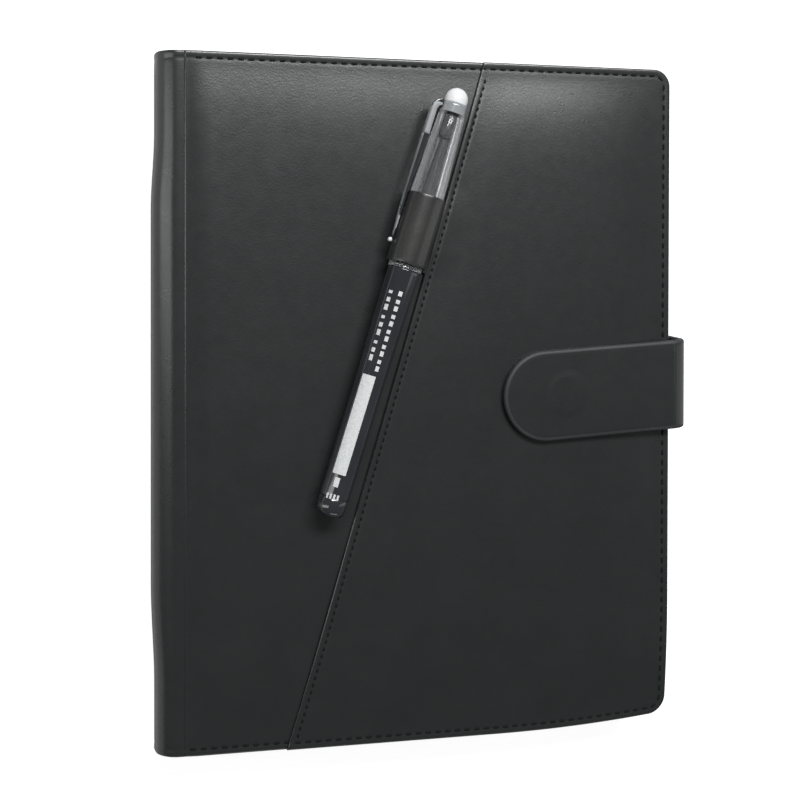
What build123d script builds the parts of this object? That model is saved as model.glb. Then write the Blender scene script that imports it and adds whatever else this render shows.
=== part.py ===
"""Leather notebook cover, lying closed on its back: slanted outside pocket, pen loop with a pen,
and a magnetic strap that wraps the fore edge. Millimetres, +Z out of the front cover, +Y to the head."""

import os
from math import cos, pi, radians, sin, tan

from build123d import *

os.makedirs("parts", exist_ok=True)

# writing pad that the cover is made round
pad_w = 148.0
pad_h = 210.0
pad_to_spine = 19.5
pad_to_fore = 13.5
pad_to_ends = 11.0

# the closed cover
cover_w = pad_to_spine + pad_w + pad_to_fore
cover_h = pad_h + 2 * pad_to_ends
cover_t = 20.0  # underside to the top of the front cover's edge band
leather = 1.2
lining = 0.6
board = 1.2

# soft spine: two folds with a short flat between them
fold_r = 8.5
spine_x = -cover_w / 2
fore_x = cover_w / 2
panel_x = spine_x + fold_r
fold_skin = leather + lining

# outline of both panels
head_corner_r = 6.0
tail_corner_r = 6.0
tail_y = -cover_h / 2
tail_ease = 3.4  # how far the tail edge has risen at the fore corner
tail_ease_l = 65.5
fore_ease = 1.3  # how far the fore edge has come in at the tail corner
fore_ease_l = 45.0

# back panel, from the underside up
board_inset = 8.0
back_board_z = leather
back_lining_z = leather
back_top = leather + board + lining

# the pad's card in the back sleeve
pad_x = spine_x + pad_to_spine  # its bound edge
card = 0.8
sleeve_in = 41.0  # from the pad's bound edge to the sleeve's open edge
sleeve_x = pad_x + sleeve_in
sleeve_inset = 1.2
sleeve_seam = 5.0
sleeve_skin = 0.7
card_room = card + 0.1
sleeve_top = back_top + card_room + sleeve_skin
pages_z = sleeve_top + 0.1
pages_t = 9.2
tape = 0.3
tape_edge = 0.5
tape_w = 8.0

# front panel, from its inside up
front_lining_z = cover_t - leather - board - lining
front_board_z = cover_t - leather - board
front_skin_z = cover_t - leather
foam = 1.0
foam_inset = 5.6
pad_rise = foam
pad_inset = 4.2
pad_hinge_inset = 2.2
shoulder = 0.7
front_top = cover_t + pad_rise

# pockets inside the front panel
pocket_skin = 0.7
pocket_room = 0.3
pocket_seam = 5.0
pocket_mouth_x = 52.0
inner_pocket_z = front_lining_z - pocket_skin - pocket_room
slot_t = 0.5
slot_w = 96.0
slot_h = 62.0
slot_step = 16.0
slot_y = 30.0
slot_x = -14.0

# slanted pocket on the front
slant = 16.5  # of its edge, off the head-to-tail line
slant_x = -13.6  # where its edge crosses the middle of the cover
pocket_gap = 0.7
flap = 1.1
flap_seam = 3.9
flap_top = front_top + pocket_gap + flap

# pen and its loop
pen_tilt = 17.6
pen_gap = 8.75  # pen's axis to the pocket's edge, where it leaves the loop
cap_r = 5.7
cap_wall = 0.6
cap_top_r = 4.3
cap_taper_from = 75.0
barrel_fit = 0.08
barrel_r = cap_r - cap_wall - barrel_fit
barrel_wall = 0.9
loop_fit = 0.08
loop_t = 1.0
loop_r = cap_r + loop_fit + loop_t
loop_from = 48.3
loop_to = 72.4
loop_tail = 0.6
loop_tail_under = 6.0
pen_top = 110.8
pen_end = -38.8
cap_mouth = 46.7
crown_from = 105.2
crown_r = 3.9
crown_round = 3.6
cap_end = 3.5  # the cap's solid end
liner_r = 2.5
liner_bore = 1.7
liner_l = 8.5
nose_from = 62.0
nose_plug = 6.0
nose_root_l = 9.0
nose_neck_r = 2.5
nose_l = 22.0
point_l = 4.0
point_r = 1.0
ink_r = 1.7
plug_l = 6.0
plug_bevel = 1.4
clip_from = 54.8
clip_gap = 0.2
clip_t = 0.9
clip_w = 3.2
clip_bead_r = 0.8
clip_head_in = 5.4  # from the axis, above the loop
clip_head_l = 14.0
clip_arm = 3.0
clip_round = 2.4

# magnetic strap
strap_w = 31.4
strap_tilt = 4.0
strap_skin = 1.2
strap_t = 2 * strap_skin
strap_tip_x = 27.0
strap_over = 0.2  # above the slanted pocket
strap_out = 6.1  # beyond the fore edge, also its outside fold radius
strap_low = 0.6  # its underside above the table
strap_fore_y = 4.5  # its middle where it leaves the front
root_in = 7.0
magnet_r = 7.0
magnet_t = 1.4
plate_r = 8.0
plate_t = 0.8
strap_z = flap_top + strap_over
strap_top = strap_z + strap_t
strap_x = fore_x + strap_out
wall_from = strap_low + strap_out
wall_to = strap_top - strap_out

# directions of the slanted parts
su, cu = sin(radians(pen_tilt)), cos(radians(pen_tilt))
loop_foot_y = loop_from * cu
pen_x = slant_x + loop_foot_y * (tan(radians(slant)) - tan(radians(pen_tilt))) - pen_gap / cos(radians(slant))
pen_z = front_top + loop_r
pen_plane = Plane(origin=(pen_x, 0, pen_z), x_dir=(-cu, su, 0), z_dir=(su, cu, 0))
clip_plane = Plane(origin=(pen_x, 0, pen_z), x_dir=(-cu, su, 0), z_dir=(0, 0, -1))
strap_rise = tan(radians(strap_tilt))
tip_r = strap_w / 2
tip_c = strap_tip_x + tip_r
half_band = tip_r / cos(radians(strap_tilt))


def strap_y(along):
    """Middle of the strap, by its flattened distance inward from the fore edge."""
    return strap_fore_y - along * strap_rise


# shared outlines
with BuildSketch() as panel:
    with BuildLine():
        ease_x, ease_y = fore_x - tail_ease_l, tail_y + fore_ease_l
        corner = (fore_x - fore_ease, tail_y + tail_ease)
        Line((panel_x, tail_y), (ease_x, tail_y))
        ThreePointArc((ease_x, tail_y), ((ease_x + corner[0]) / 2, tail_y + tail_ease / 4), corner)
        ThreePointArc(corner, (fore_x - fore_ease / 4, (corner[1] + ease_y) / 2), (fore_x, ease_y))
        Polyline((fore_x, ease_y), (fore_x, cover_h / 2), (panel_x, cover_h / 2), (panel_x, tail_y))
    make_face()
    fillet(panel.vertices().group_by(Axis.X)[-1].sort_by(Axis.Y)[-1], head_corner_r)
    fillet(panel.vertices().sort_by_distance((fore_x, tail_y))[0], tail_corner_r)

with BuildSketch() as board_shape:
    add(panel.sketch)
    offset(amount=-board_inset, kind=Kind.ARC)

with BuildSketch() as pad_shape:
    add(panel.sketch)
    offset(amount=-pad_inset, kind=Kind.ARC)
    with Locations((panel_x + pad_hinge_inset, 0)):
        Rectangle(3 * pad_inset, cover_h - 2 * pad_inset, align=(Align.MIN, Align.CENTER))

with BuildSketch() as foam_shape:
    add(panel.sketch)
    offset(amount=-foam_inset, kind=Kind.ARC)

with BuildSketch() as slant_side:
    reach = cover_h
    Polygon(
        (slant_x + reach * tan(radians(slant)), reach),
        (slant_x - reach * tan(radians(slant)), -reach),
        (4 * reach, -reach),
        (4 * reach, reach),
        align=None,
    )

with BuildSketch() as flap_shape:
    add(panel.sketch)
    add(slant_side.sketch, mode=Mode.INTERSECT)

# back panel
with BuildPart() as back_leather:
    with BuildSketch(Plane.XY):
        add(panel.sketch)
    extrude(amount=leather)
    chamfer(back_leather.faces().sort_by(Axis.Z)[0].edges().filter_by(lambda e: e.center().X > panel_x + 1), 0.3)
back_leather.part.label = "back_leather"

with BuildPart() as back_board:
    with BuildSketch(Plane.XY.offset(back_board_z)):
        add(board_shape.sketch)
    extrude(amount=board)
back_board.part.label = "back_board"

with BuildPart() as back_lining:
    with BuildSketch(Plane.XY.offset(back_lining_z)):
        add(panel.sketch)
    extrude(amount=board + lining)
    with BuildSketch(Plane.XY.offset(back_lining_z)):
        add(board_shape.sketch)
    extrude(amount=board, mode=Mode.SUBTRACT)
    with BuildSketch(Plane.XY.offset(back_lining_z)):
        with Locations((fore_x, strap_y(0))):
            Rectangle(root_in, 2 * half_band, align=(Align.MAX, Align.CENTER))
    extrude(amount=strap_skin, mode=Mode.SUBTRACT)
back_lining.part.label = "back_lining"

with BuildPart() as strap_root:
    with BuildSketch(Plane.XY.offset(back_lining_z)):
        with Locations((fore_x, strap_y(0))):
            Rectangle(root_in, 2 * half_band, align=(Align.MAX, Align.CENTER))
    extrude(amount=strap_skin)
strap_root.part.label = "strap_root"

# writing pad and the sleeve that holds it
with BuildPart() as back_sleeve:
    with BuildSketch(Plane.XY.offset(back_top)):
        add(panel.sketch)
        offset(amount=-sleeve_inset, kind=Kind.ARC)
        with Locations((sleeve_x, 0)):
            Rectangle(cover_w, cover_h, align=(Align.MIN, Align.CENTER), mode=Mode.INTERSECT)
    extrude(amount=card_room + sleeve_skin)
    with BuildSketch(Plane.XY.offset(back_top)):
        with Locations((sleeve_x, 0)):
            Rectangle(
                fore_x - sleeve_x - sleeve_inset - sleeve_seam,
                cover_h - 2 * (sleeve_inset + sleeve_seam),
                align=(Align.MIN, Align.CENTER),
            )
    extrude(amount=card_room, mode=Mode.SUBTRACT)
back_sleeve.part.label = "back_sleeve"

with BuildPart() as refill_card:
    with BuildSketch(Plane.XY.offset(back_top)):
        with Locations((pad_x, 0)):
            Rectangle(pad_w, pad_h, align=(Align.MIN, Align.CENTER))
    extrude(amount=card)
    fillet(refill_card.edges().filter_by(Axis.Z).group_by(Axis.X)[-1], 3)
refill_card.part.label = "refill_card"

with BuildPart() as page_block:
    with BuildSketch(Plane.XY.offset(pages_z)):
        with Locations((pad_x, 0)):
            Rectangle(pad_w, pad_h, align=(Align.MIN, Align.CENTER))
    extrude(amount=pages_t)
    fillet(page_block.edges().filter_by(Axis.Z).group_by(Axis.X)[-1], 3)
page_block.part.label = "page_block"

with BuildPart() as refill_tape:
    with Locations((pad_x - tape_edge, 0, back_top)):
        Box(
            tape_edge + tape_w,
            pad_h,
            pages_z + pages_t + tape - back_top,
            align=(Align.MIN, Align.CENTER, Align.MIN),
        )
    with Locations((pad_x, 0, back_top)):
        Box(tape_w, pad_h, card, align=(Align.MIN, Align.CENTER, Align.MIN), mode=Mode.SUBTRACT)
    with Locations((pad_x, 0, pages_z)):
        Box(tape_w, pad_h, pages_t, align=(Align.MIN, Align.CENTER, Align.MIN), mode=Mode.SUBTRACT)
refill_tape.part.label = "refill_tape"


# spine: leather outside, lining inside, a fold at each side of a short flat
def fold_ring(centre, outer, inner, corner):
    """Quarter ring over the whole height of the cover; corner is the direction it bulges in."""
    with BuildPart(mode=Mode.PRIVATE) as ring:
        with BuildSketch(Plane.XZ.offset(-cover_h / 2)):
            with Locations(centre):
                Circle(outer)
                Circle(inner, mode=Mode.SUBTRACT)
                with Locations((corner[0] * outer / 2, corner[1] * outer / 2)):
                    Rectangle(outer, outer, mode=Mode.INTERSECT)
        extrude(amount=cover_h)
    return ring.part


low = (panel_x, fold_r)
high = (panel_x, cover_t - fold_r)

with BuildPart() as fold_back_leather:
    add(fold_ring(low, fold_r, fold_r - leather, (-1, -1)))
fold_back_leather.part.label = "fold_back_leather"

with BuildPart() as fold_back_lining:
    add(fold_ring(low, fold_r - leather, fold_r - fold_skin, (-1, -1)))
fold_back_lining.part.label = "fold_back_lining"

with BuildPart() as spine_leather:
    with Locations((spine_x, 0, fold_r)):
        Box(leather, cover_h, cover_t - 2 * fold_r, align=(Align.MIN, Align.CENTER, Align.MIN))
spine_leather.part.label = "spine_leather"

with BuildPart() as spine_lining:
    with Locations((spine_x + leather, 0, fold_r)):
        Box(lining, cover_h, cover_t - 2 * fold_r, align=(Align.MIN, Align.CENTER, Align.MIN))
spine_lining.part.label = "spine_lining"

with BuildPart() as fold_front_leather:
    add(fold_ring(high, fold_r, fold_r - leather, (-1, 1)))
fold_front_leather.part.label = "fold_front_leather"

with BuildPart() as fold_front_lining:
    add(fold_ring(high, fold_r - leather, fold_r - fold_skin, (-1, 1)))
fold_front_lining.part.label = "fold_front_lining"

# front panel
plate_x = tip_c + 7.5
plate_y = strap_y(fore_x - plate_x)

with BuildPart() as front_leather:
    with BuildSketch(Plane.XY.offset(front_skin_z)):
        add(panel.sketch)
    extrude(amount=leather)
    chamfer(front_leather.faces().sort_by(Axis.Z)[-1].edges().filter_by(lambda e: e.center().X > panel_x + 1), 0.3)
    with BuildSketch(Plane.XY.offset(cover_t)):
        add(pad_shape.sketch)
    extrude(amount=pad_rise)
    chamfer(front_leather.faces().sort_by(Axis.Z)[-1].edges(), shoulder)
    with BuildSketch(Plane.XY.offset(front_skin_z)):
        add(foam_shape.sketch)
    extrude(amount=foam, mode=Mode.SUBTRACT)
front_leather.part.label = "front_leather"

with BuildPart() as front_foam:
    with BuildSketch(Plane.XY.offset(front_skin_z)):
        add(foam_shape.sketch)
    extrude(amount=foam)
    with Locations((plate_x, plate_y, front_skin_z + foam)):
        Cylinder(plate_r, plate_t, align=(Align.CENTER, Align.CENTER, Align.MAX), mode=Mode.SUBTRACT)
front_foam.part.label = "front_foam"

with BuildPart() as closure_plate:
    with Locations((plate_x, plate_y, front_skin_z + foam)):
        Cylinder(plate_r, plate_t, align=(Align.CENTER, Align.CENTER, Align.MAX))
closure_plate.part.label = "closure_plate"

with BuildPart() as front_board:
    with BuildSketch(Plane.XY.offset(front_board_z)):
        add(board_shape.sketch)
    extrude(amount=board)
front_board.part.label = "front_board"

with BuildPart() as front_lining:
    with BuildSketch(Plane.XY.offset(front_lining_z)):
        add(panel.sketch)
    extrude(amount=board + lining)
    with BuildSketch(Plane.XY.offset(front_board_z)):
        add(board_shape.sketch)
    extrude(amount=board, mode=Mode.SUBTRACT)
front_lining.part.label = "front_lining"

# pockets inside the front panel
with BuildPart() as front_inner_pocket:
    with BuildSketch(Plane.XY.offset(inner_pocket_z)):
        add(panel.sketch)
        offset(amount=-sleeve_inset, kind=Kind.ARC)
        with Locations((pocket_mouth_x, 0)):
            Rectangle(2 * cover_w, cover_h, align=(Align.MAX, Align.CENTER), mode=Mode.INTERSECT)
    extrude(amount=pocket_skin + pocket_room)
    with BuildSketch(Plane.XY.offset(inner_pocket_z + pocket_skin)):
        with Locations((pocket_mouth_x, 0)):
            Rectangle(
                pocket_mouth_x - panel_x - sleeve_inset - pocket_seam,
                cover_h - 2 * (sleeve_inset + pocket_seam),
                align=(Align.MAX, Align.CENTER),
            )
    extrude(amount=pocket_room, mode=Mode.SUBTRACT)
front_inner_pocket.part.label = "front_inner_pocket"

with BuildPart() as card_slot_1:
    with Locations((slot_x, slot_y, inner_pocket_z)):
        Box(slot_w, slot_h, slot_t, align=(Align.CENTER, Align.CENTER, Align.MAX))
    fillet(card_slot_1.edges().filter_by(Axis.Z), 3)
card_slot_1.part.label = "card_slot_1"

with BuildPart() as card_slot_2:
    with Locations((slot_x, slot_y - slot_step, inner_pocket_z - slot_t)):
        Box(slot_w, slot_h, slot_t, align=(Align.CENTER, Align.CENTER, Align.MAX))
    with Locations((slot_x, slot_y - slot_step - slot_h / 2, inner_pocket_z)):
        Box(slot_w, slot_step, slot_t, align=(Align.CENTER, Align.MIN, Align.MAX))
    fillet(card_slot_2.edges().filter_by(Axis.Z).group_by(Axis.Y)[-1], 3)
card_slot_2.part.label = "card_slot_2"

with BuildPart() as card_slot_3:
    with Locations((slot_x, slot_y - 2 * slot_step, inner_pocket_z - 2 * slot_t)):
        Box(slot_w, slot_h, slot_t, align=(Align.CENTER, Align.CENTER, Align.MAX))
    with Locations((slot_x, slot_y - 2 * slot_step - slot_h / 2, inner_pocket_z)):
        Box(slot_w, slot_step, 2 * slot_t, align=(Align.CENTER, Align.MIN, Align.MAX))
    fillet(card_slot_3.edges().filter_by(Axis.Z).group_by(Axis.Y)[-1], 3)
card_slot_3.part.label = "card_slot_3"

# slanted pocket, open along its slanted edge
with BuildPart() as front_pocket_panel:
    with BuildSketch(Plane.XY.offset(cover_t)):
        add(flap_shape.sketch)
    extrude(amount=flap)
    with BuildSketch(Plane.XY.offset(cover_t + flap)):
        add(panel.sketch)
        offset(amount=-(flap_seam - flap), kind=Kind.ARC)
        add(slant_side.sketch, mode=Mode.INTERSECT)
    extrude(amount=flap_top - cover_t - flap)
    chamfer(
        front_pocket_panel.faces()
        .sort_by(Axis.Z)[-1]
        .edges()
        .filter_by(lambda e: e.center().X > 40 or abs(e.center().Y) > cover_h / 2 - 8),
        shoulder,
    )
    with BuildSketch(Plane.XY.offset(cover_t)):
        add(panel.sketch)
        offset(amount=-flap_seam, kind=Kind.ARC)
    extrude(amount=pad_rise + pocket_gap, mode=Mode.SUBTRACT)
front_pocket_panel.part.label = "front_pocket_panel"

# pen loop, its tail sewn under the slanted pocket's edge
with BuildPart() as pen_loop:
    with BuildSketch(pen_plane.offset(loop_from)):
        Circle(loop_r)
        with Locations((0, -loop_r)):
            Rectangle(pen_gap + loop_tail_under, loop_tail, align=(Align.MAX, Align.MIN))
        Circle(cap_r + loop_fit, mode=Mode.SUBTRACT)
    extrude(amount=loop_to - loop_from)
pen_loop.part.label = "pen_loop"

# pen: clear tapered cap with its clip, crown and liner
with BuildPart() as pen_cap:
    for outside in (0, cap_wall):
        with BuildSketch(pen_plane.offset(cap_mouth)):
            Circle(cap_r - outside)
        extrude(amount=cap_taper_from - cap_mouth, mode=Mode.SUBTRACT if outside else Mode.ADD)
        with BuildSketch(pen_plane.offset(cap_taper_from)):
            Circle(cap_r - outside)
        with BuildSketch(pen_plane.offset(crown_from - (cap_end if outside else 0))):
            Circle(cap_top_r - outside)
        loft(mode=Mode.SUBTRACT if outside else Mode.ADD)
    clip_in = loop_r + clip_gap
    clip_out = clip_in + clip_t
    clip_root = cap_top_r - cap_wall / 2
    with BuildSketch(clip_plane):
        with BuildLine():
            Polyline((clip_root, crown_from), (clip_out - clip_round, crown_from))
            CenterArc((clip_out - clip_round, crown_from - clip_round), clip_round, 0, 90)
            Polyline(
                (clip_out, crown_from - clip_round),
                (clip_out, clip_from),
                (clip_in, clip_from),
                (clip_in, loop_to + 2),
                (clip_head_in, crown_from - clip_head_l),
                (clip_head_in, crown_from - clip_arm),
                (clip_root, crown_from - clip_arm),
                (clip_root, crown_from),
            )
        make_face()
        with Locations((clip_in + clip_bead_r, clip_from)):
            Circle(clip_bead_r)
    extrude(amount=clip_w / 2, both=True)
pen_cap.part.label = "pen_cap"

with BuildPart() as cap_crown:
    with BuildSketch(pen_plane.offset(crown_from)):
        Circle(crown_r)
    extrude(amount=pen_top - crown_from)
    rims = cap_crown.edges().filter_by(GeomType.CIRCLE)
    fillet(rims.sort_by_distance(pen_plane.from_local_coords((0, 0, pen_top)))[0], crown_round)
cap_crown.part.label = "cap_crown"

with BuildPart() as cap_liner:
    with BuildSketch(pen_plane.offset(crown_from - cap_end - liner_l)):
        Circle(liner_r)
        Circle(liner_bore, mode=Mode.SUBTRACT)
    extrude(amount=liner_l)
cap_liner.part.label = "cap_liner"

# pen: barrel with its nose, point, ink tube and end plug
with BuildPart() as pen_barrel:
    with BuildSketch(pen_plane.offset(pen_end + plug_l)):
        Circle(barrel_r)
        Circle(barrel_r - barrel_wall, mode=Mode.SUBTRACT)
    extrude(amount=nose_from - pen_end - plug_l)
pen_barrel.part.label = "pen_barrel"

nose_neck = nose_from + nose_root_l

with BuildPart() as nose_cone:
    with BuildSketch(pen_plane.offset(nose_from - nose_plug)):
        Circle(barrel_r - barrel_wall)
    extrude(amount=nose_plug)
    with BuildSketch(pen_plane.offset(nose_from)):
        Circle(barrel_r - barrel_wall)
    with BuildSketch(pen_plane.offset(nose_neck)):
        Circle(nose_neck_r)
    loft()
    with BuildSketch(pen_plane.offset(nose_neck)):
        Circle(nose_neck_r)
    with BuildSketch(pen_plane.offset(nose_neck + nose_l)):
        Circle(point_r + 0.3)
    loft()
    with BuildSketch(pen_plane.offset(nose_from - nose_plug)):
        Circle(ink_r)
    extrude(amount=nose_plug, mode=Mode.SUBTRACT)
nose_cone.part.label = "nose_cone"

with BuildPart() as pen_point:
    with BuildSketch(pen_plane.offset(nose_neck + nose_l)):
        Circle(point_r)
    with BuildSketch(pen_plane.offset(nose_neck + nose_l + point_l)):
        Circle(0.4)
    loft()
pen_point.part.label = "pen_point"

with BuildPart() as ink_tube:
    with BuildSketch(pen_plane.offset(pen_end + plug_l + 4)):
        Circle(ink_r)
    extrude(amount=nose_from - pen_end - plug_l - 4)
ink_tube.part.label = "ink_tube"

with BuildPart() as tail_plug:
    with BuildSketch(pen_plane.offset(pen_end)):
        Circle(barrel_r)
    extrude(amount=plug_l)
    rims = tail_plug.edges().filter_by(GeomType.CIRCLE)
    chamfer(rims.sort_by_distance(pen_plane.from_local_coords((0, 0, pen_end)))[0], plug_bevel)
    with BuildSketch(pen_plane.offset(pen_end + plug_l)):
        Circle(barrel_r - barrel_wall)
    extrude(amount=2)
tail_plug.part.label = "tail_plug"


# magnetic strap: fold, side, fold and tongue
def strap_fold(centre_z, up, along):
    """Quarter ring of both layers of the strap, at one of its folds."""
    with BuildPart(mode=Mode.PRIVATE) as ring:
        with BuildSketch(Plane.XZ.offset(-strap_y(along) - half_band)):
            with Locations((fore_x, centre_z)):
                Circle(strap_out)
                Circle(strap_out - strap_t, mode=Mode.SUBTRACT)
                with Locations((strap_out / 2, up * strap_out / 2)):
                    Rectangle(strap_out, strap_out, mode=Mode.INTERSECT)
        extrude(amount=2 * half_band)
    return ring.part


fold_arc = pi / 2 * (strap_out - strap_skin)

with BuildPart() as strap_fold_back:
    add(strap_fold(wall_from, -1, -1.5 * fold_arc - wall_to + wall_from))
strap_fold_back.part.label = "strap_fold_back"

with BuildPart() as strap_side:
    with BuildSketch(Plane.YZ.offset(strap_x)):
        y_high = strap_y(-fold_arc)
        y_low = strap_y(-fold_arc - wall_to + wall_from)
        Polygon(
            (y_low - half_band, wall_from),
            (y_low + half_band, wall_from),
            (y_high + half_band, wall_to),
            (y_high - half_band, wall_to),
            align=None,
        )
    extrude(amount=-strap_t)
strap_side.part.label = "strap_side"

with BuildPart() as strap_fold_front:
    add(strap_fold(wall_to, 1, -fold_arc / 2))
strap_fold_front.part.label = "strap_fold_front"

with BuildSketch() as tongue_shape:
    tip_y = strap_y(fore_x - tip_c)
    with Locations((tip_c, tip_y)):
        Circle(tip_r)
    Polygon(
        (tip_c - tip_r * sin(radians(strap_tilt)), tip_y + tip_r * cos(radians(strap_tilt))),
        (tip_c + tip_r * sin(radians(strap_tilt)), tip_y - tip_r * cos(radians(strap_tilt))),
        (fore_x, strap_y(0) - half_band),
        (fore_x, strap_y(0) + half_band),
        align=None,
    )

with BuildPart() as strap_tongue:
    with BuildSketch(Plane.XY.offset(strap_z + strap_skin)):
        add(tongue_shape.sketch)
    extrude(amount=strap_skin)
    chamfer(strap_tongue.faces().sort_by(Axis.Z)[-1].edges().filter_by(lambda e: e.center().X < fore_x - 1), 0.4)
    with Locations((plate_x, plate_y, strap_z + strap_skin)):
        Cylinder(magnet_r, magnet_t / 2, align=(Align.CENTER, Align.CENTER, Align.MIN), mode=Mode.SUBTRACT)
strap_tongue.part.label = "strap_tongue"

with BuildPart() as tongue_lining:
    with BuildSketch(Plane.XY.offset(strap_z)):
        add(tongue_shape.sketch)
    extrude(amount=strap_skin)
    with Locations((plate_x, plate_y, strap_z + strap_skin)):
        Cylinder(magnet_r, magnet_t / 2, align=(Align.CENTER, Align.CENTER, Align.MAX), mode=Mode.SUBTRACT)
tongue_lining.part.label = "tongue_lining"

with BuildPart() as strap_magnet:
    with Locations((plate_x, plate_y, strap_z + strap_skin)):
        Cylinder(magnet_r, magnet_t)
strap_magnet.part.label = "strap_magnet"

export_step(back_leather.part, "parts/back_leather.step")
export_step(back_board.part, "parts/back_board.step")
export_step(back_lining.part, "parts/back_lining.step")
export_step(strap_root.part, "parts/strap_root.step")
export_step(back_sleeve.part, "parts/back_sleeve.step")
export_step(refill_card.part, "parts/refill_card.step")
export_step(page_block.part, "parts/page_block.step")
export_step(refill_tape.part, "parts/refill_tape.step")
export_step(fold_back_leather.part, "parts/fold_back_leather.step")
export_step(fold_back_lining.part, "parts/fold_back_lining.step")
export_step(spine_leather.part, "parts/spine_leather.step")
export_step(spine_lining.part, "parts/spine_lining.step")
export_step(fold_front_leather.part, "parts/fold_front_leather.step")
export_step(fold_front_lining.part, "parts/fold_front_lining.step")
export_step(front_leather.part, "parts/front_leather.step")
export_step(front_foam.part, "parts/front_foam.step")
export_step(closure_plate.part, "parts/closure_plate.step")
export_step(front_board.part, "parts/front_board.step")
export_step(front_lining.part, "parts/front_lining.step")
export_step(front_inner_pocket.part, "parts/front_inner_pocket.step")
export_step(card_slot_1.part, "parts/card_slot_1.step")
export_step(card_slot_2.part, "parts/card_slot_2.step")
export_step(card_slot_3.part, "parts/card_slot_3.step")
export_step(front_pocket_panel.part, "parts/front_pocket_panel.step")
export_step(pen_loop.part, "parts/pen_loop.step")
export_step(pen_cap.part, "parts/pen_cap.step")
export_step(cap_crown.part, "parts/cap_crown.step")
export_step(cap_liner.part, "parts/cap_liner.step")
export_step(pen_barrel.part, "parts/pen_barrel.step")
export_step(nose_cone.part, "parts/nose_cone.step")
export_step(pen_point.part, "parts/pen_point.step")
export_step(ink_tube.part, "parts/ink_tube.step")
export_step(tail_plug.part, "parts/tail_plug.step")
export_step(strap_fold_back.part, "parts/strap_fold_back.step")
export_step(strap_side.part, "parts/strap_side.step")
export_step(strap_fold_front.part, "parts/strap_fold_front.step")
export_step(strap_tongue.part, "parts/strap_tongue.step")
export_step(tongue_lining.part, "parts/tongue_lining.step")
export_step(strap_magnet.part, "parts/strap_magnet.step")
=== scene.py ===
"""Looks of a black leather notebook cover with a slanted pocket, a pen in a loop and a magnetic strap."""
from math import cos, pi, radians, sin, tan

import bmesh
import bpy
import numpy as np
from mathutils import Matrix, Vector


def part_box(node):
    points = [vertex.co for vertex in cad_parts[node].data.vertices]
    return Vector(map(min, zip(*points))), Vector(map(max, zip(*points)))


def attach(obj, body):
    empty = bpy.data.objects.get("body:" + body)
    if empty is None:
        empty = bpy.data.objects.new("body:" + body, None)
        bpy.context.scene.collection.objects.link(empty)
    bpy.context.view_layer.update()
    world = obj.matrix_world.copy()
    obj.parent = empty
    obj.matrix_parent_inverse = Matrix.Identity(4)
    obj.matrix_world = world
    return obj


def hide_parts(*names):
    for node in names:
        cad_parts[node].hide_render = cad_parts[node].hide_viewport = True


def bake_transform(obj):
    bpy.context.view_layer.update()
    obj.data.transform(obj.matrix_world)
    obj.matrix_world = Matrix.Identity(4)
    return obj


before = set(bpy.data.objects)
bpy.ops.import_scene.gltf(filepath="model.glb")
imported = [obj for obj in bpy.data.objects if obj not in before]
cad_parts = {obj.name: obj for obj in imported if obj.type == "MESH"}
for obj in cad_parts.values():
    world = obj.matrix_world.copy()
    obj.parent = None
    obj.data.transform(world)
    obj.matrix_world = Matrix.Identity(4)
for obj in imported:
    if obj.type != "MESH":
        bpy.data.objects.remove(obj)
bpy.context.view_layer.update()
MM = 0.001


def low(node):
    """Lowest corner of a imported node, in millimetres."""
    return np.array(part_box(node)[0]) / MM


def high(node):
    """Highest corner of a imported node, in millimetres."""
    return np.array(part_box(node)[1]) / MM


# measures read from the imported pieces, in millimetres
PANEL_X, TAIL = low("back_leather")[:2]
FORE, HEAD = high("back_leather")[:2]
SPINE_X = low("spine_leather")[0]
FOLD_R = PANEL_X - SPINE_X
BACK_TOP = high("back_lining")[2]
SKIN_Z = low("front_foam")[2]
LEATHER = high("back_leather")[2]
EDGE_Z = SKIN_Z + LEATHER
PAD_Z = high("front_leather")[2]
LINING_Z = low("front_lining")[2]
FLAP_Z = high("front_pocket_panel")[2]

# thickness of the slanted pocket, and of the spine's leather with its lining
FLAP, SKIN = 1.1, LEATHER + 0.6
# the cover's corner radius, and the stitches' distance inside its edges
CORNER_R, SEAM = 6.0, 2.4
# the tail edge rises by EASE_TAIL beyond EASE_X, the fore edge comes in by EASE_FORE over the last EASE_Y
EASE_X, EASE_TAIL, EASE_FORE, EASE_Y, EASE_OVER = 25.0, 3.4, 1.3, 45.0, 60.0
# distances over which the foam's rise starts: beside the spine, and inside the stitches of front and pocket
HINGE_FADE, PAD_SOFT, FLAP_SOFT = 9.0, 7.0, 8.0
# width of the closely ruled band along an edge
FINE_BAND = 8.0

# the slanted pocket: its edge's lean, where that edge crosses the middle, and its hem's stitch line
SLANT = radians(16.5)
SU, CU = sin(SLANT), cos(SLANT)
SLANT_X = -13.6
HEM = 2.2

# the pen: its lean, its distance left of the slanted edge, its loop's two ends along it and leather
PEN_TILT, PEN_GAP = radians(17.6), 8.75
PU, PC = sin(PEN_TILT), cos(PEN_TILT)
LOOP_FROM, LOOP_TO, LOOP_T = 48.3, 72.4, 1.0
PEN_X = SLANT_X + LOOP_FROM * PC * (tan(SLANT) - tan(PEN_TILT)) - PEN_GAP / CU
LOOP_R = (high("pen_loop")[2] - PAD_Z) / 2
PEN_Z = PAD_Z + LOOP_R
CAP_R = high("pen_cap")[2] - PEN_Z
BARREL_R = high("pen_barrel")[2] - PEN_Z


# ---------------------------------------------------------------- mesh building
def smooth01(t):
    """Smooth step: 3 t squared minus 2 t cubed, with t held between 0 and 1."""
    t = np.clip(t, 0, 1)
    return t * t * (3 - 2 * t)


def placed(name, data):
    """A new object in the scene."""
    obj = bpy.data.objects.new(name, data)
    bpy.context.scene.collection.objects.link(obj)
    return obj


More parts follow.
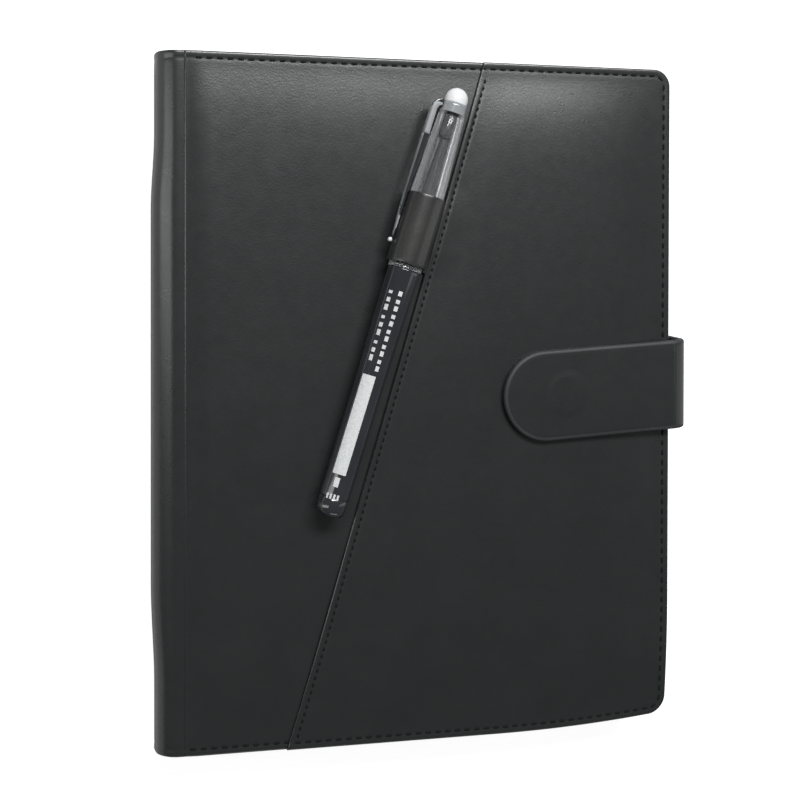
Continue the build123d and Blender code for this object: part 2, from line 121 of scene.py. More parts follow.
def sheet(grid, mat=0):
    """A patch open on all four sides, with its material's place in the piece."""
    return grid, False, False, mat


def tube(grid, mat=0):
    """A patch whose every row closes round on itself."""
    return grid, False, True, mat


def piece(name, patches, mats, body, slot, *stands_for, merge=0.004, smooth=True):
    """One closed mesh from patches of points in mm, faces outward, in place of the nodes it stands for."""
    verts, quads, which, base = [], [], [], 0
    for p, wrap_i, wrap_j, mat in patches:
        m, n = p.shape[:2]
        idx = base + np.arange(m * n).reshape(m, n)
        i2 = np.concatenate([idx, idx[:1]], 0) if wrap_i else idx
        i3 = np.concatenate([i2, i2[:, :1]], 1) if wrap_j else i2
        q = np.stack([i3[:-1, :-1], i3[1:, :-1], i3[1:, 1:], i3[:-1, 1:]], -1).reshape(-1, 4)
        verts.append(p.reshape(-1, 3))
        quads.append(q)
        which.append(np.full(len(q), mat))
        base += m * n
    v, q, w = np.concatenate(verts) * MM, np.concatenate(quads), np.concatenate(which)
    key = np.round(v / (merge * MM)).astype(np.int64)
    _, first, back = np.unique(key, axis=0, return_index=True, return_inverse=True)
    v, q = v[first], back.reshape(-1)[q]
    same = q == np.roll(q, -1, axis=1)
    keep = same.sum(1) <= 1
    q, w, same = q[keep], w[keep], same[keep]
    whole = ~same.any(1)
    faces = [list(f) for f in q[whole]]
    kinds = list(w[whole])
    for f, s, k in zip(q[~whole], same[~whole], w[~whole]):
        corners = list(f[~s])
        if len(set(corners)) == 3:
            faces.append(corners)
            kinds.append(k)
    mesh = bpy.data.meshes.new(name)
    mesh.from_pydata(v.tolist(), [], faces)
    mesh.polygons.foreach_set("material_index", np.array(kinds, dtype=np.int32))
    mesh.polygons.foreach_set("use_smooth", np.full(len(faces), smooth))
    for m in mats:
        mesh.materials.append(m)
    mesh.validate()
    mesh.update()
    obj = placed(name, mesh)
    if body:
        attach(obj, body)
    bm = bmesh.new()
    bm.from_mesh(mesh)
    bmesh.ops.recalc_face_normals(bm, faces=bm.faces)
    bm.to_mesh(mesh)
    bm.free()
    if stands_for:
        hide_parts(*stands_for)
    return obj


def lines(*spans):
    """Uneven ruling: each span is (from, to, step), and the spans join end to end."""
    out = []
    for a, b, step in spans:
        k = max(1, int(round(abs(b - a) / step)))
        out.append(np.linspace(a, b, k + 1)[(1 if out else 0):])
    return np.concatenate(out)


# ---------------------------------------------------------------- finishes
def add(tree, kind, **values):
    """A new shader node with plain values on the sockets named, _ standing for a space."""
    n = tree.nodes.new("ShaderNode" + kind)
    for key, value in values.items():
        n.inputs[key.replace("_", " ")].default_value = value
    return n


def finish_of(name, colour, rough, **more):
    """A material with plain values on its shader; returns it, its tree, its shader and object coordinates."""
    mat = bpy.data.materials.new(name)
    mat.use_nodes = True
    sh = mat.node_tree.nodes["Principled BSDF"]
    for key, value in dict(Base_Color=(*colour, 1), Roughness=rough, **more).items():
        sh.inputs[key.replace("_", " ")].default_value = value
    return mat, mat.node_tree, sh, add(mat.node_tree, "TexCoord").outputs["Object"]


def noise(tree, coord, scale, detail):
    """Noise at scale features per metre, on object coordinates."""
    n = add(tree, "TexNoise", Scale=scale, Detail=detail, Roughness=0.55)
    tree.links.new(coord, n.inputs["Vector"])
    return n.outputs["Fac"]


def spread(tree, fac, low_value, high_value, start=0.3, end=0.7):
    """Maps a factor from start..end to two values; a noise keeps mostly between 0.3 and 0.7."""
    m = add(tree, "MapRange", From_Min=start, From_Max=end, To_Min=low_value, To_Max=high_value)
    tree.links.new(fac, m.inputs["Value"])
    return m.outputs["Result"]


def tint(tree, fac, a, b):
    """Mixes two colours by a factor."""
    m = add(tree, "Mix")
    m.data_type = "RGBA"
    m.inputs["A"].default_value = (*a, 1)
    m.inputs["B"].default_value = (*b, 1)
    tree.links.new(fac, m.inputs["Factor"])
    return m.outputs["Result"]


def bumped(tree, height, strength, depth, before=None):
    """A bump of the given depth in metres, on top of another."""
    b = add(tree, "Bump", Strength=strength, Distance=depth)
    tree.links.new(height, b.inputs["Height"])
    if before is not None:
        tree.links.new(before, b.inputs["Normal"])
    return b.outputs["Normal"]


def maths(tree, operation, first, second):
    """Works out two values with one operation; the second may be a plain number."""
    n = add(tree, "Math")
    n.operation = operation
    tree.links.new(first, n.inputs[0])
    if isinstance(second, float):
        n.inputs[1].default_value = second
    else:
        tree.links.new(second, n.inputs[1])
    return n.outputs[0]


def mixed(tree, fac, first, second, output):
    """Sends a mix of two shaders by a factor to the output."""
    m = add(tree, "MixShader")
    for value, socket in zip((fac, first, second), m.inputs):
        tree.links.new(value, socket)
    tree.links.new(m.outputs[0], tree.nodes[output].inputs["Surface"])


def leather_finish(name, dark, light, rough, shine):
    """Smooth-grained leather: blotched tone, pebble grain of two thirds of a millimetre, fine pores."""
    mat, tree, sh, at = finish_of(name, dark, rough, Specular_IOR_Level=shine)
    tone = spread(tree, noise(tree, at, 55, 5), 0, 1)
    tree.links.new(tint(tree, tone, dark, light), sh.inputs["Base Color"])
    polish = spread(tree, noise(tree, at, 260, 3), rough - 0.01, rough + 0.015)
    tree.links.new(polish, sh.inputs["Roughness"])
    wobble = add(tree, "TexNoise", Scale=500)
    tree.links.new(at, wobble.inputs["Vector"])
    warp = add(tree, "VectorMath")
    warp.operation = "MULTIPLY_ADD"
    tree.links.new(wobble.outputs["Color"], warp.inputs[0])
    warp.inputs[1].default_value = (0.0009, 0.0009, 0.0009)
    tree.links.new(at, warp.inputs[2])
    cells = add(tree, "TexVoronoi", Scale=1500)
    cells.feature = "SMOOTH_F1"
    cells.inputs["Smoothness"].default_value = 0.6
    tree.links.new(warp.outputs["Vector"], cells.inputs["Vector"])
    pebbles = bumped(tree, cells.outputs["Distance"], 0.16, 0.0001)
    pores = bumped(tree, noise(tree, at, 3800, 2), 0.14, 0.00004, pebbles)
    uneven = bumped(tree, noise(tree, at, 60, 2), 0.05, 0.0003, pores)
    tree.links.new(uneven, sh.inputs["Normal"])
    return mat


WAVE_PITCH = 0.314  # metres between the bands of a wave texture of scale 1


def cloth_finish(name, dark, light, pitch=0.00045, sheen=0.2, shine=0.5):
    """Woven cloth or thread: two crossed waves of one pitch, raised and toned."""
    mat, tree, sh, at = finish_of(name, dark, 0.8, Sheen_Weight=sheen, Specular_IOR_Level=shine)
    waves = []
    for way in ("X", "Y"):
        w = add(tree, "TexWave", Scale=WAVE_PITCH / pitch, Distortion=0.6)
        w.bands_direction = way
        tree.links.new(at, w.inputs["Vector"])
        waves.append(w.outputs["Fac"])
    top = maths(tree, "MAXIMUM", *waves)
    tree.links.new(tint(tree, top, dark, light), sh.inputs["Base Color"])
    tree.links.new(bumped(tree, top, 0.5, 0.00012), sh.inputs["Normal"])
    return mat


def paper_finish(name):
    """Page edges: thin leaves as lines across the thickness, slightly uneven in tone."""
    mat, tree, sh, at = finish_of(name, (0.82, 0.8, 0.74), 0.75)
    stretch = add(tree, "Mapping", Scale=(12, 12, 5200))
    tree.links.new(at, stretch.inputs["Vector"])
    leaves = spread(tree, noise(tree, stretch.outputs["Vector"], 1, 2), 0, 1)
    tree.links.new(tint(tree, leaves, (0.66, 0.64, 0.58), (0.86, 0.84, 0.79)), sh.inputs["Base Color"])
    tree.links.new(bumped(tree, leaves, 0.35, 0.00008), sh.inputs["Normal"])
    return mat


def board_finish(name):
    """Grey-brown fibre board."""
    mat, tree, sh, at = finish_of(name, (0.3, 0.25, 0.19), 0.85)
    speck = spread(tree, noise(tree, at, 1600, 4), 0, 1)
    tree.links.new(tint(tree, speck, (0.24, 0.2, 0.15), (0.4, 0.34, 0.27)), sh.inputs["Base Color"])
    tree.links.new(bumped(tree, speck, 0.3, 0.0001), sh.inputs["Normal"])
    return mat


def plastic_finish(name, dark, light, rough, scale=90, **more):
    """Moulded plastic or metal: nearly even tone with faint flow marks and a slight orange peel."""
    mat, tree, sh, at = finish_of(name, dark, rough, **more)
    flow = spread(tree, noise(tree, at, scale, 3), 0, 1)
    tree.links.new(tint(tree, flow, dark, light), sh.inputs["Base Color"])
    tree.links.new(bumped(tree, noise(tree, at, 900, 2), 0.06, 0.00004), sh.inputs["Normal"])
    return mat


def clear_finish(name):
    """Clear moulded plastic; where the round wall turns away a grey diffuse share is mixed in, a painted
    highlight standing in for light refracted along the wall's sides.
    """
    mat, tree, sh, at = finish_of(name, (0.95, 0.97, 0.97), 0.03, Transmission_Weight=1.0, IOR=1.49)
    tone = spread(tree, noise(tree, at, 90, 3), 0, 1)
    tree.links.new(tint(tree, tone, (0.93, 0.95, 0.96), (0.97, 0.98, 0.98)), sh.inputs["Base Color"])
    turned_away = add(tree, "LayerWeight", Blend=0.5).outputs["Facing"]
    # painted highlight: grey diffuse colour at grazing angles in place of the light the clear wall refracts
    refraction_paint = add(tree, "BsdfDiffuse", Color=(0.72, 0.74, 0.76, 1)).outputs["BSDF"]
    refraction_share = spread(tree, turned_away, 0.0, 0.3, 0.12, 0.5)
    mixed(tree, refraction_share, sh.outputs["BSDF"], refraction_paint, "Material Output")
    return mat


COVER = leather_finish("cover_leather", (0.0102, 0.0113, 0.0117), (0.0129, 0.0143, 0.0147), 0.28, 0.75)
# the pen loop's leather: smoother than the cover's, and its base colour painted lighter than the cover
# leather as a painted highlight on the loop
LIT_LOOP_LEATHER = leather_finish("loop_leather_painted_lighter", (0.017, 0.0174, 0.0168), (0.0235, 0.0237, 0.0226), 0.26, 0.9)
EDGE = leather_finish("edge_paint", (0.026, 0.0275, 0.029), (0.038, 0.04, 0.042), 0.5, 0.3)
LINING = cloth_finish("lining_cloth", (0.012, 0.012, 0.014), (0.035, 0.035, 0.038))
THREAD = cloth_finish("seam_thread", (0.004, 0.004, 0.005), (0.009, 0.009, 0.01), 0.0002, 0.0, 0.15)
PAPER = paper_finish("page_paper")
BOARD = board_finish("card_board")
TAPE = cloth_finish("binding_tape", (0.012, 0.013, 0.016), (0.03, 0.032, 0.038), 0.0004)
CLEAR = clear_finish("clear_cap")
WHITE = plastic_finish("white_crown", (0.66, 0.67, 0.68), (0.76, 0.77, 0.78), 0.3)
BLACK = plastic_finish("black_nose", (0.012, 0.0135, 0.016), (0.018, 0.0195, 0.022), 0.35)
SMOKE = plastic_finish("smoke_barrel", (0.016, 0.018, 0.022), (0.022, 0.024, 0.028), 0.1, Coat_Weight=0.6)
# grey plastic of the ink refill and the clip's block, also used for the painted highlights on the clip
GREY = plastic_finish("grey_refill_and_clip_glints", (0.2, 0.21, 0.22), (0.28, 0.29, 0.3), 0.4)
COLLAR = plastic_finish("grey_collar", (0.2, 0.215, 0.225), (0.27, 0.285, 0.295), 0.16, Coat_Weight=0.5)
PRINT = plastic_finish("pale_print", (0.46, 0.475, 0.48), (0.62, 0.635, 0.635), 0.5, 1500)
STEEL = plastic_finish("steel", (0.5, 0.5, 0.51), (0.66, 0.66, 0.67), 0.3, 300, Metallic=1.0)


# ---------------------------------------------------------------- cover panels
def tail_ease(x):
    """How far the tail edge has risen: a parabola towards the fore edge."""
    return EASE_TAIL * np.clip((x - EASE_X) / (FORE - EASE_FORE - EASE_X), 0, None) ** 2


def fore_ease(y):
    """How far the fore edge has come in: a parabola towards the tail."""
    return EASE_FORE * np.clip((TAIL + EASE_Y - y) / EASE_Y, 0, 1.1) ** 2


def eased(x, y):
    """Lets a rectangle's tail and fore edges follow the panel's outline, fading out towards its middle."""
    from_fore = smooth01((x - FORE + EASE_OVER) / EASE_OVER)
    from_tail = smooth01((TAIL + EASE_OVER - y) / EASE_OVER)
    return x - fore_ease(y) * from_fore, y + tail_ease(x) * from_tail


def round_corner(x, y, cx, cy, side):
    """Turns the square corner beyond (cx, cy) into a quarter disc, square rings becoming circles."""
    r = CORNER_R
    p, q = (x - cx) / r, side * (y - cy) / r
    c = np.maximum(p, q)
    on = (p > 0) & (q > 0)
    c, p, q = np.where(on, c, 1), np.where(on, p, 1), np.where(on, q, 1)
    turn = np.where(p >= q, pi / 4 * q / p, pi / 2 - pi / 4 * p / q)
    return np.where(on, cx + r * c * np.cos(turn), x), np.where(on, cy + side * r * c * np.sin(turn), y)


def onto_outline(x, y):
    """Rectangle to the panel's outline: square corners become round ones, then the two edges ease in."""
    x, y = np.broadcast_arrays(np.asarray(x, float), np.asarray(y, float))
    x, y = round_corner(x, y, FORE - CORNER_R, HEAD - CORNER_R, 1)
    x, y = round_corner(x, y, FORE - CORNER_R, TAIL + CORNER_R, -1)
    return eased(x, y)


def borders(x, y):
    """Distances inside the fore, head and tail edges."""
    return FORE - fore_ease(y) - x, HEAD - y, y - TAIL - tail_ease(x)


def inset(x, y):
    """Distance inside the nearest of the three edges, round at both corners."""
    dx, dh, dt = borders(x, y)
    d = np.minimum(np.minimum(dx, dh), dt)
    r = CORNER_R
    for dy in (dh, dt):
        d = np.where((dx < r) & (dy < r), r - np.hypot(r - dx, r - dy), d)
    return d


def seam_line(d):
    """Height beside a stitched edge: a slight swell, then the stitches' groove."""
    return 0.05 * np.sin(np.clip(d / SEAM, 0, 1) * pi) - 0.05 * np.exp(-(((d - SEAM) / 0.8) ** 2))


def ripple(x, y):
    """Three crossed sine swells of a few hundredths of a millimetre, as soft leather has over foam."""
    long_swell = 0.05 * np.sin(x / 17 + y / 31)
    cross_swell = 0.04 * np.sin(y / 13 - x / 41 + 1)
    return long_swell + cross_swell + 0.03 * np.sin(x / 9 - y / 23 + 2)


def hinge_groove(beyond):
    """Depth of the shallow bell-shaped valley beside the spine, by distance beyond the panel's edge."""
    return 0.5 * np.exp(-(((beyond - 0.4) / 2.9) ** 2))


def pad_rise(x, y, soft):
    """The foam's rise from 0 to 1: the product over the edges of 1 - (1 + k) times e to the minus k,
    where k is the distance inside the stitches over soft."""
    up = 1
    for d in borders(x, y):
        k = np.clip(d - SEAM, 0, None) / soft
        up = up * (1 - (1 + k) * np.exp(-k))
    return up


def front_height(x, y):
    """Top of the front leather: edge band, groove, then the foam's soft shoulder up to the pad."""
    d = inset(x, y)
    up = pad_rise(x, y, PAD_SOFT) * smooth01((x - PANEL_X) / HINGE_FADE)
    return EDGE_Z + seam_line(d) + (PAD_Z - EDGE_Z) * up + ripple(x, y) * up - hinge_groove(PANEL_X - x)


def slant_line(y):
    """Where the slanted pocket's edge lies at a height on the cover."""
    return SLANT_X + y * tan(SLANT)


def flap_height(x, y):
    """Top of the slanted pocket: as the front, a hem along its slanted edge, lifted over the loop's tails."""
    g = (x - slant_line(y)) * CU
    s = (x - slant_line(y)) * SU + y / CU
    up = pad_rise(x, y, FLAP_SOFT)
    z = EDGE_Z + FLAP + seam_line(inset(x, y)) + (FLAP_Z - EDGE_Z - FLAP) * up
    hem = 0.1 * np.sin(np.clip(g / HEM, 0, 1) * pi) - 0.26 * np.exp(-(((g - HEM) / 0.45) ** 2))
    sunk = 0.42 * (1 - smooth01(g / 16))
    over_tails = 0.35 * np.exp(-(((s - 60) / 13) ** 4)) * (1 - smooth01(g / 12))
    slack = 0.45 * np.exp(-(((s + 78) / 26) ** 2)) * (1 - smooth01(g / 9))
    return z + up * (hem - sunk + over_tails + slack + ripple(x + 40, y))


def edge_rows(depth, back, e):
    """Rows turning over an edge and back underneath: (distance in from the outline, depth below the top)."""
    a = np.radians([22, 45, 68, 90])
    over = [(e * (1 - sin(k)), e * (1 - cos(k))) for k in a]
    under = [(e * (1 - cos(k)), depth - e * (1 - sin(k))) for k in a[:3]]
    return over + [(0, depth - e)] + under + [(e + 0.1, depth), (back, depth)]


def loop_of(g):
    """Closed line round the border of a grid."""
    return np.concatenate([g[:, 0], g[-1, 1:], g[-2::-1, -1], g[0, -2:0:-1]])


def shell(top, between, under):
    """Closed skin: a top grid, the border lines of the grids between, and a grid underneath."""
    rows = np.array([loop_of(g) for g in [top] + between + [under]])
    return [sheet(top), tube(rows), sheet(under[::-1])]


def level(z):
    """A flat surface at one height."""
    return lambda x, y: 0 * x + z


def ruled(p, lo, hi, o_lo, o_hi):
    """The ruling p drawn in from both its ends."""
    q = np.clip(p, lo + o_lo, hi - o_hi)
    q[0], q[-1] = lo + o_lo, hi - o_hi
    return q


def panel_shell(height, depth, under_z, flip=1, e=0.6, step=2.2, back=5):
    """Leather of a whole panel: its top, its edges turned round the board, and the face glued to it."""
    xs = lines((PANEL_X, PANEL_X + HINGE_FADE, 0.6), (PANEL_X + HINGE_FADE, FORE - FINE_BAND, step),
               (FORE - FINE_BAND, FORE - e, 0.3))
    ys = lines((TAIL + e, TAIL + FINE_BAND, 0.3), (TAIL + FINE_BAND, HEAD - FINE_BAND, step),
               (HEAD - FINE_BAND, HEAD - e, 0.3))

    def at(o, z_of):
        x, y = onto_outline(ruled(xs, PANEL_X, FORE, 0, o)[:, None], ruled(ys, TAIL, HEAD, o, o)[None, :])
        return np.stack([x, y, z_of(x, y)], -1)

    between = [at(o, lambda x, y, f=f: height(x, y) - flip * f) for o, f in edge_rows(depth, back, e)]
    return shell(at(e, height), between, at(back + 0.1, level(under_z)))


front = piece("front_skin", panel_shell(front_height, EDGE_Z - LINING_Z, SKIN_Z), [COVER],
              "front_cover", "leather", "front_leather", "front_foam")


def back_height(x, y):
    """Underside of the back leather: flat on the table, its edge seam a little raised."""
    return 0 * x + 0.3 * np.exp(-(((inset(x, y) - SEAM) / 0.5) ** 2))


piece("back_skin", panel_shell(back_height, BACK_TOP, LEATHER, -1, step=4.0), [COVER],
      "back_cover", "leather", "back_leather")


def flap_shell(e=0.45, back=3.0):
    """Slanted pocket: columns run from its slanted edge to the fore edge, rows from tail to head."""
    hem_band = 9
    near, far, across = lines((e, hem_band, 0.35)), -lines((FINE_BAND, e, 0.35)), np.linspace(0, 1, 44)[1:-1]
    alpha = np.concatenate([near * 0, across, far * 0 + 1])
    shift = np.concatenate([near, hem_band - (hem_band + FINE_BAND) * across, far])
    ys = lines((TAIL + e, TAIL + FINE_BAND, 0.35), (TAIL + FINE_BAND, HEAD - FINE_BAND, 1.6),
               (HEAD - FINE_BAND, HEAD - e, 0.35))

    def at(o, z_of):
        y = ruled(ys, TAIL, HEAD, o, o)[None, :]
        c = np.where(alpha == 0, np.maximum(shift, o / CU), shift)
        c = np.where(alpha == 1, np.minimum(shift, -o), c)
        c[0], c[-1] = o / CU, -o
        x, y = onto_outline((1 - alpha[:, None]) * slant_line(y) + alpha[:, None] * FORE + c[:, None], y)
        return np.stack([x, y, z_of(x, y)], -1)

    between = [at(o, lambda x, y, f=f: flap_height(x, y) - f) for o, f in edge_rows(FLAP, back, e)]
    return shell(at(e, flap_height), between, at(back + 0.1, lambda x, y: flap_height(x, y) - FLAP))


flap = piece("slanted_pocket", flap_shell(), [COVER], "front_cover", "leather", "front_pocket_panel")


# ---------------------------------------------------------------- spine
def spine_swell(y):
    """The soft spine stands out by a millimetre over its middle, less towards the sewn ends."""
    return 1.15 * smooth01((90 - y) / 26) * smooth01((y + 94) / 34)


def spine_lines(part):
    """Turn and centre height of each line along the spine: one quarter turn, the flat, or the other."""
    if part == "flat":
        k = np.linspace(0, 1, 5)
        return 0 * k + pi, FOLD_R + k * (EDGE_Z - 2 * FOLD_R)
    if part == "front":
        return np.linspace(pi, pi / 2, 34), EDGE_Z - FOLD_R
    return np.linspace(1.5 * pi, pi, 26), FOLD_R


def spine_at(part, y, fall):
    """Points of the spine at the places y along it, fall below its outside."""
    turn, cz = spine_lines(part)
    beyond = (turn - pi / 2) * FOLD_R
    groove = hinge_groove(beyond) if part == "front" else 0 * beyond
    depth = np.minimum(HEAD - y, y - TAIL)
    r = FOLD_R - (groove[:, None] - seam_line(depth)[None, :]) * (fall < 1) - fall
    lean = np.clip(-np.cos(turn), 0, 1)[:, None] ** 2 * spine_swell(y)[None, :]
    x = PANEL_X + r * np.cos(turn)[:, None] - lean
    z = (cz + 0 * turn)[:, None] + r * np.sin(turn)[:, None]
    return np.stack([x, np.broadcast_to(y[None, :], x.shape), np.maximum(z, 0)], -1)


def spine_shell(part, e=0.5):
    """Spine leather with its lining: a quarter round or the flat, its ends turned in."""
    ys = lines((TAIL + e, TAIL + 6, 0.35), (TAIL + 6, HEAD - 6, 3.0), (HEAD - 6, HEAD - e, 0.35))
    between = [spine_at(part, ruled(ys, TAIL, HEAD, o, o), f) for o, f in edge_rows(SKIN, 3.2, e)]
    return shell(spine_at(part, ys, 0.0), between, spine_at(part, ruled(ys, TAIL, HEAD, 3.3, 3.3), SKIN))


def bend_with(obj, part):
    """Rides a piece on the flat of the spine; a piece on either fold only has its placement baked into its
    mesh, with no parent.
    """
    if part == "flat":
        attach(obj, "spine")
    if part == "back":
        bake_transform(obj)
    if part == "front":
        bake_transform(obj)


for part, leather, lining in (
    ("back", "fold_back_leather", "fold_back_lining"),
    ("flat", "spine_leather", "spine_lining"),
    ("front", "fold_front_leather", "fold_front_lining"),
):
    patches = spine_shell(part)
    patches[2] = sheet(patches[2][0], 1)
    bend_with(piece("spine_" + part, patches, [COVER, LINING], None, "leather", leather, lining), part)


# ---------------------------------------------------------------- linings, boards and pockets inside
def rounded_run(start, end, off, step):
    """Ruling of a sheet from rim to rim: close lines over each rounded rim, wider ones between."""
    rim_band, e = 6, off[0]
    flat = lines((start + e, start + rim_band, 1.2), (start + rim_band, end - rim_band, step),
                 (end - rim_band, end - e, 1.2))
    return np.concatenate([(start + off)[::-1], flat[1:-1], end - off])


def slab(a, b, r, e=0.2, step=6.0, shape=None):
    """Thin sheet with round corners and rounded rims: a grid over its top and one over its underside."""
    off, fall = np.array([(e * (1 - sin(k)), e * (1 - cos(k))) for k in np.radians([0, 30, 60, 90])]).T
    px, py = rounded_run(a[0], b[0], off, step), rounded_run(a[1], b[1], off, step)
    qx, qy = (np.concatenate([fall[::-1], np.zeros(len(k) - 2 * len(off)), fall]) for k in (px, py))
    x, y = np.broadcast_arrays(px[:, None], py[None, :])
    (cx, cy), (hx, hy) = (a + b)[:2] / 2, (b - a)[:2] / 2
    p, q = (abs(x - cx) - hx + r) / r, (abs(y - cy) - hy + r) / r
    on = (p > 0) & (q > 0)
    x = np.where(on, cx + np.sign(x - cx) * (hx - r + r * p * np.sqrt(np.clip(1 - q * q / 2, 0, 1))), x)
    y = np.where(on, cy + np.sign(y - cy) * (hy - r + r * q * np.sqrt(np.clip(1 - p * p / 2, 0, 1))), y)
    if shape:
        x, y = shape(x, y)
    drop = np.maximum(qx[:, None], qy[None, :])
    top, under = np.stack([x, y, b[2] - drop], -1), np.stack([x, y, a[2] + drop], -1)
    return [sheet(top), sheet(under[::-1])]


def sheet_piece(name, node, mat, body, slot, r, box=None, shape=eased):
    """A flat inner piece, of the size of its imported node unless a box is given."""
    a, b = box or (low(node), high(node))
    piece(name, slab(a, b, r, shape=shape), [mat], body, slot, node)


def inner_box(margin, z0, z1, x0=PANEL_X, x1=None):
    """Two corners of a sheet with a margin inside the three edges; x1, where given, is its fore side."""
    fore = FORE - margin if x1 is None else x1
    return np.array([x0, TAIL + margin, z0]), np.array([fore, HEAD - margin, z1])


sheet_piece("back_lining_sheet", "back_lining", LINING, "back_cover", "lining", 3.0,
            inner_box(3.2, BACK_TOP - 0.5, BACK_TOP + 0.02))
sheet_piece("front_lining_sheet", "front_lining", LINING, "front_cover", "lining", 3.0,
            inner_box(3.2, LINING_Z - 0.02, LINING_Z + 0.5))
for node, body in (("back_board", "back_cover"), ("front_board", "front_cover")):
    sheet_piece(node + "_sheet", node, BOARD, body, "board", 2.0)
sheet_piece("pad_sleeve", "back_sleeve", LINING, "back_cover", "lining", 4.0,
            inner_box(3.0, high("refill_card")[2] + 0.15, high("back_sleeve")[2], low("back_sleeve")[0]))
sheet_piece("pad_card", "refill_card", BOARD, "back_cover", "board", 3.0, shape=None)
pocket_z = low("front_inner_pocket")[2]
sheet_piece("slip_pocket", "front_inner_pocket", LINING, "front_cover", "lining", 3.0,
            inner_box(3.0, pocket_z, pocket_z + 0.75, PANEL_X + 2.5, high("front_inner_pocket")[0]))
for k in (1, 2, 3):
    node = "card_slot_%d" % k
    a, b = low(node), high(node)
    b[2] = a[2] + 0.5
    sheet_piece("card_slot_sheet_%d" % k, node, COVER, "front_cover", "leather", 3.0, (a, b), None)


# ---------------------------------------------------------------- writing pad
def page_grid():
    """Block of leaves: rings round its outline at many heights, each ring set in or out a few hundredths."""
    a, b = low("page_block"), high("page_block")
    c, h = (a + b) / 2, (b - a) / 2
    t = 2 * np.linspace(0, 1, 41)[:-1] - 1
    x, y, o = h[0], h[1], 0 * t
    sides = (x * t, o - y), (o + x, y * t), (-x * t, o + y), (o - x, -y * t)
    ring = np.concatenate([np.stack(s, -1) for s in sides])
    r = 3.0
    p, q = (abs(ring[:, 0]) - h[0] + r) / r, (abs(ring[:, 1]) - h[1] + r) / r
    on = (p > 0) & (q > 0) & (ring[:, 0] > 0)
    ring[on] -= np.sign(ring[on]) * r * (1 - np.sqrt(0.5))
    count = 66
    k = np.arange(count)
    out = 0.06 * ((k % 2) * 2 - 1) + 0.10 * np.sin(k * 2.3) * np.sin(k * 0.37 + 1)
    z = a[2] + (b[2] - a[2]) * k / (count - 1)
    scale = 1 + (out - 0.12)[:, None] / h[:2]

    def row(size, height):
        return np.concatenate([ring * size + c[:2], np.full((len(ring), 1), height)], 1)

    leaves = [row(scale[i], z[i]) for i in range(count)]
    return np.array([row(f, a[2]) for f in (0.0, 0.985)] + leaves + [row(f, b[2]) for f in (0.985, 0.6, 0.0)])


piece("pages", [tube(page_grid())], [PAPER], "back_cover", "paper", "page_block")

(tape_x, _, tape_z), (tape_end, _, tape_top) = low("refill_tape"), high("refill_tape")
wrap = [(tape_end, tape_top), (tape_x + 0.6, tape_top), (tape_x, tape_top - 0.6), (tape_x, tape_z + 0.3),
        (tape_x + 0.2, tape_z), (tape_x + 0.5, tape_z), (tape_x + 0.5, tape_top - 0.9),
        (tape_x + 1.0, tape_top - 0.35), (tape_end, tape_top - 0.35)]
tape_y = np.linspace(low("refill_tape")[1], high("refill_tape")[1], 30)
tape = [(np.array([[(x, y, z) for y in tape_y] for x, z in wrap]), True, False, 0)]
for y in tape_y[[0, -1]]:
    halves = wrap[:5], (wrap[::-1] + wrap[-1:])[:5]
    tape.append(sheet(np.array([[(x, y, z) for x, z in half] for half in halves])))
piece("pad_tape", tape, [TAPE], "back_cover", "tape", "refill_tape", smooth=False)


# ---------------------------------------------------------------- pen and its loop
def pen_points(s, right, up):
    """Places along the pen, to its right and up from its axis, as points of the cover."""
    s, right, up = np.broadcast_arrays(s, right, up)
    return np.stack([PEN_X + s * PU + right * PC, s * PC - right * PU, PEN_Z + up], -1)


def turned(rows, n=64):
    """Surface of revolution about the pen's axis: each row is (place along, radius)."""
    s, r = np.array(rows, float).T
    a = np.linspace(0, 2 * pi, n + 1)[:-1]
    return pen_points(s[:, None], r[:, None] * np.cos(a)[None, :], r[:, None] * np.sin(a)[None, :])


def bend_rows(s0, r0, s1, r1, n=7, out=1):
    """Quarter ellipse between two rows of a turned profile; out is 1 where it leaves along the axis first."""
    k = np.linspace(0, pi / 2, n)
    if out > 0:
        return [(s0 + (s1 - s0) * sin(t), r1 + (r0 - r1) * cos(t)) for t in k]
    return [(s1 + (s0 - s1) * cos(t), r0 + (r1 - r0) * sin(t)) for t in k]


def run_rows(s0, r0, s1, r1, n=12):
    """Straight stretch of a turned profile."""
    return [(s0 + (s1 - s0) * t, r0 + (r1 - r0) * t) for t in np.linspace(0, 1, n)]


def lathe(name, node, rows, mat, body, slot, n=64):
    """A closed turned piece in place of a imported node."""
    piece(name, [tube(turned(rows, n))], [mat], body, slot, node)


# places along the pen, radii and lengths: two rows for the cap, then the barrel's end and the nose
CAP_MOUTH, TAPER_FROM, CROWN_FROM, PEN_TOP = 46.7, 75.0, 105.2, 110.8
CAP_TOP_R, CAP_WALL, CAP_END, CROWN_R = 4.3, 0.6, 3.5, 3.9
PEN_END, NOSE_FROM, NOSE_ROOT, NOSE_NECK, NOSE_L = -38.8, 62.0, 9.0, 2.5, 22.0


def loop_path():
    """Middle line of the loop's leather: its right tail, round the pen, then down its left and under it."""
    r = LOOP_R - LOOP_T / 2
    foot, tail_foot = 0.35 - LOOP_R, 1.05 - LOOP_R
    ring = [(r * cos(k), r * sin(k)) for k in np.radians(np.linspace(12, 262, 66))]
    ease = np.linspace(0, 1, 14)[1:]
    (right_x, right_z), (left_x, left_z) = ring[0], ring[-1]
    left = [(left_x + 7 * t, left_z + (foot - left_z) * smooth01(t)) for t in ease]
    right = [(right_x + 1.9 * t * t * (1.6 - 0.6 * t), right_z + (tail_foot - right_z) * (1 - (1 - t) ** 1.7))
             for t in ease]
    tail = [(right[-1][0] + 5.0 * t, tail_foot + 0.05 * t) for t in np.linspace(0, 1, 8)[1:]]
    under = [(left[-1][0] + 7.5 * t, foot) for t in np.linspace(0, 1, 10)[1:]]
    return np.array(tail[::-1] + right[::-1] + ring + left + under)


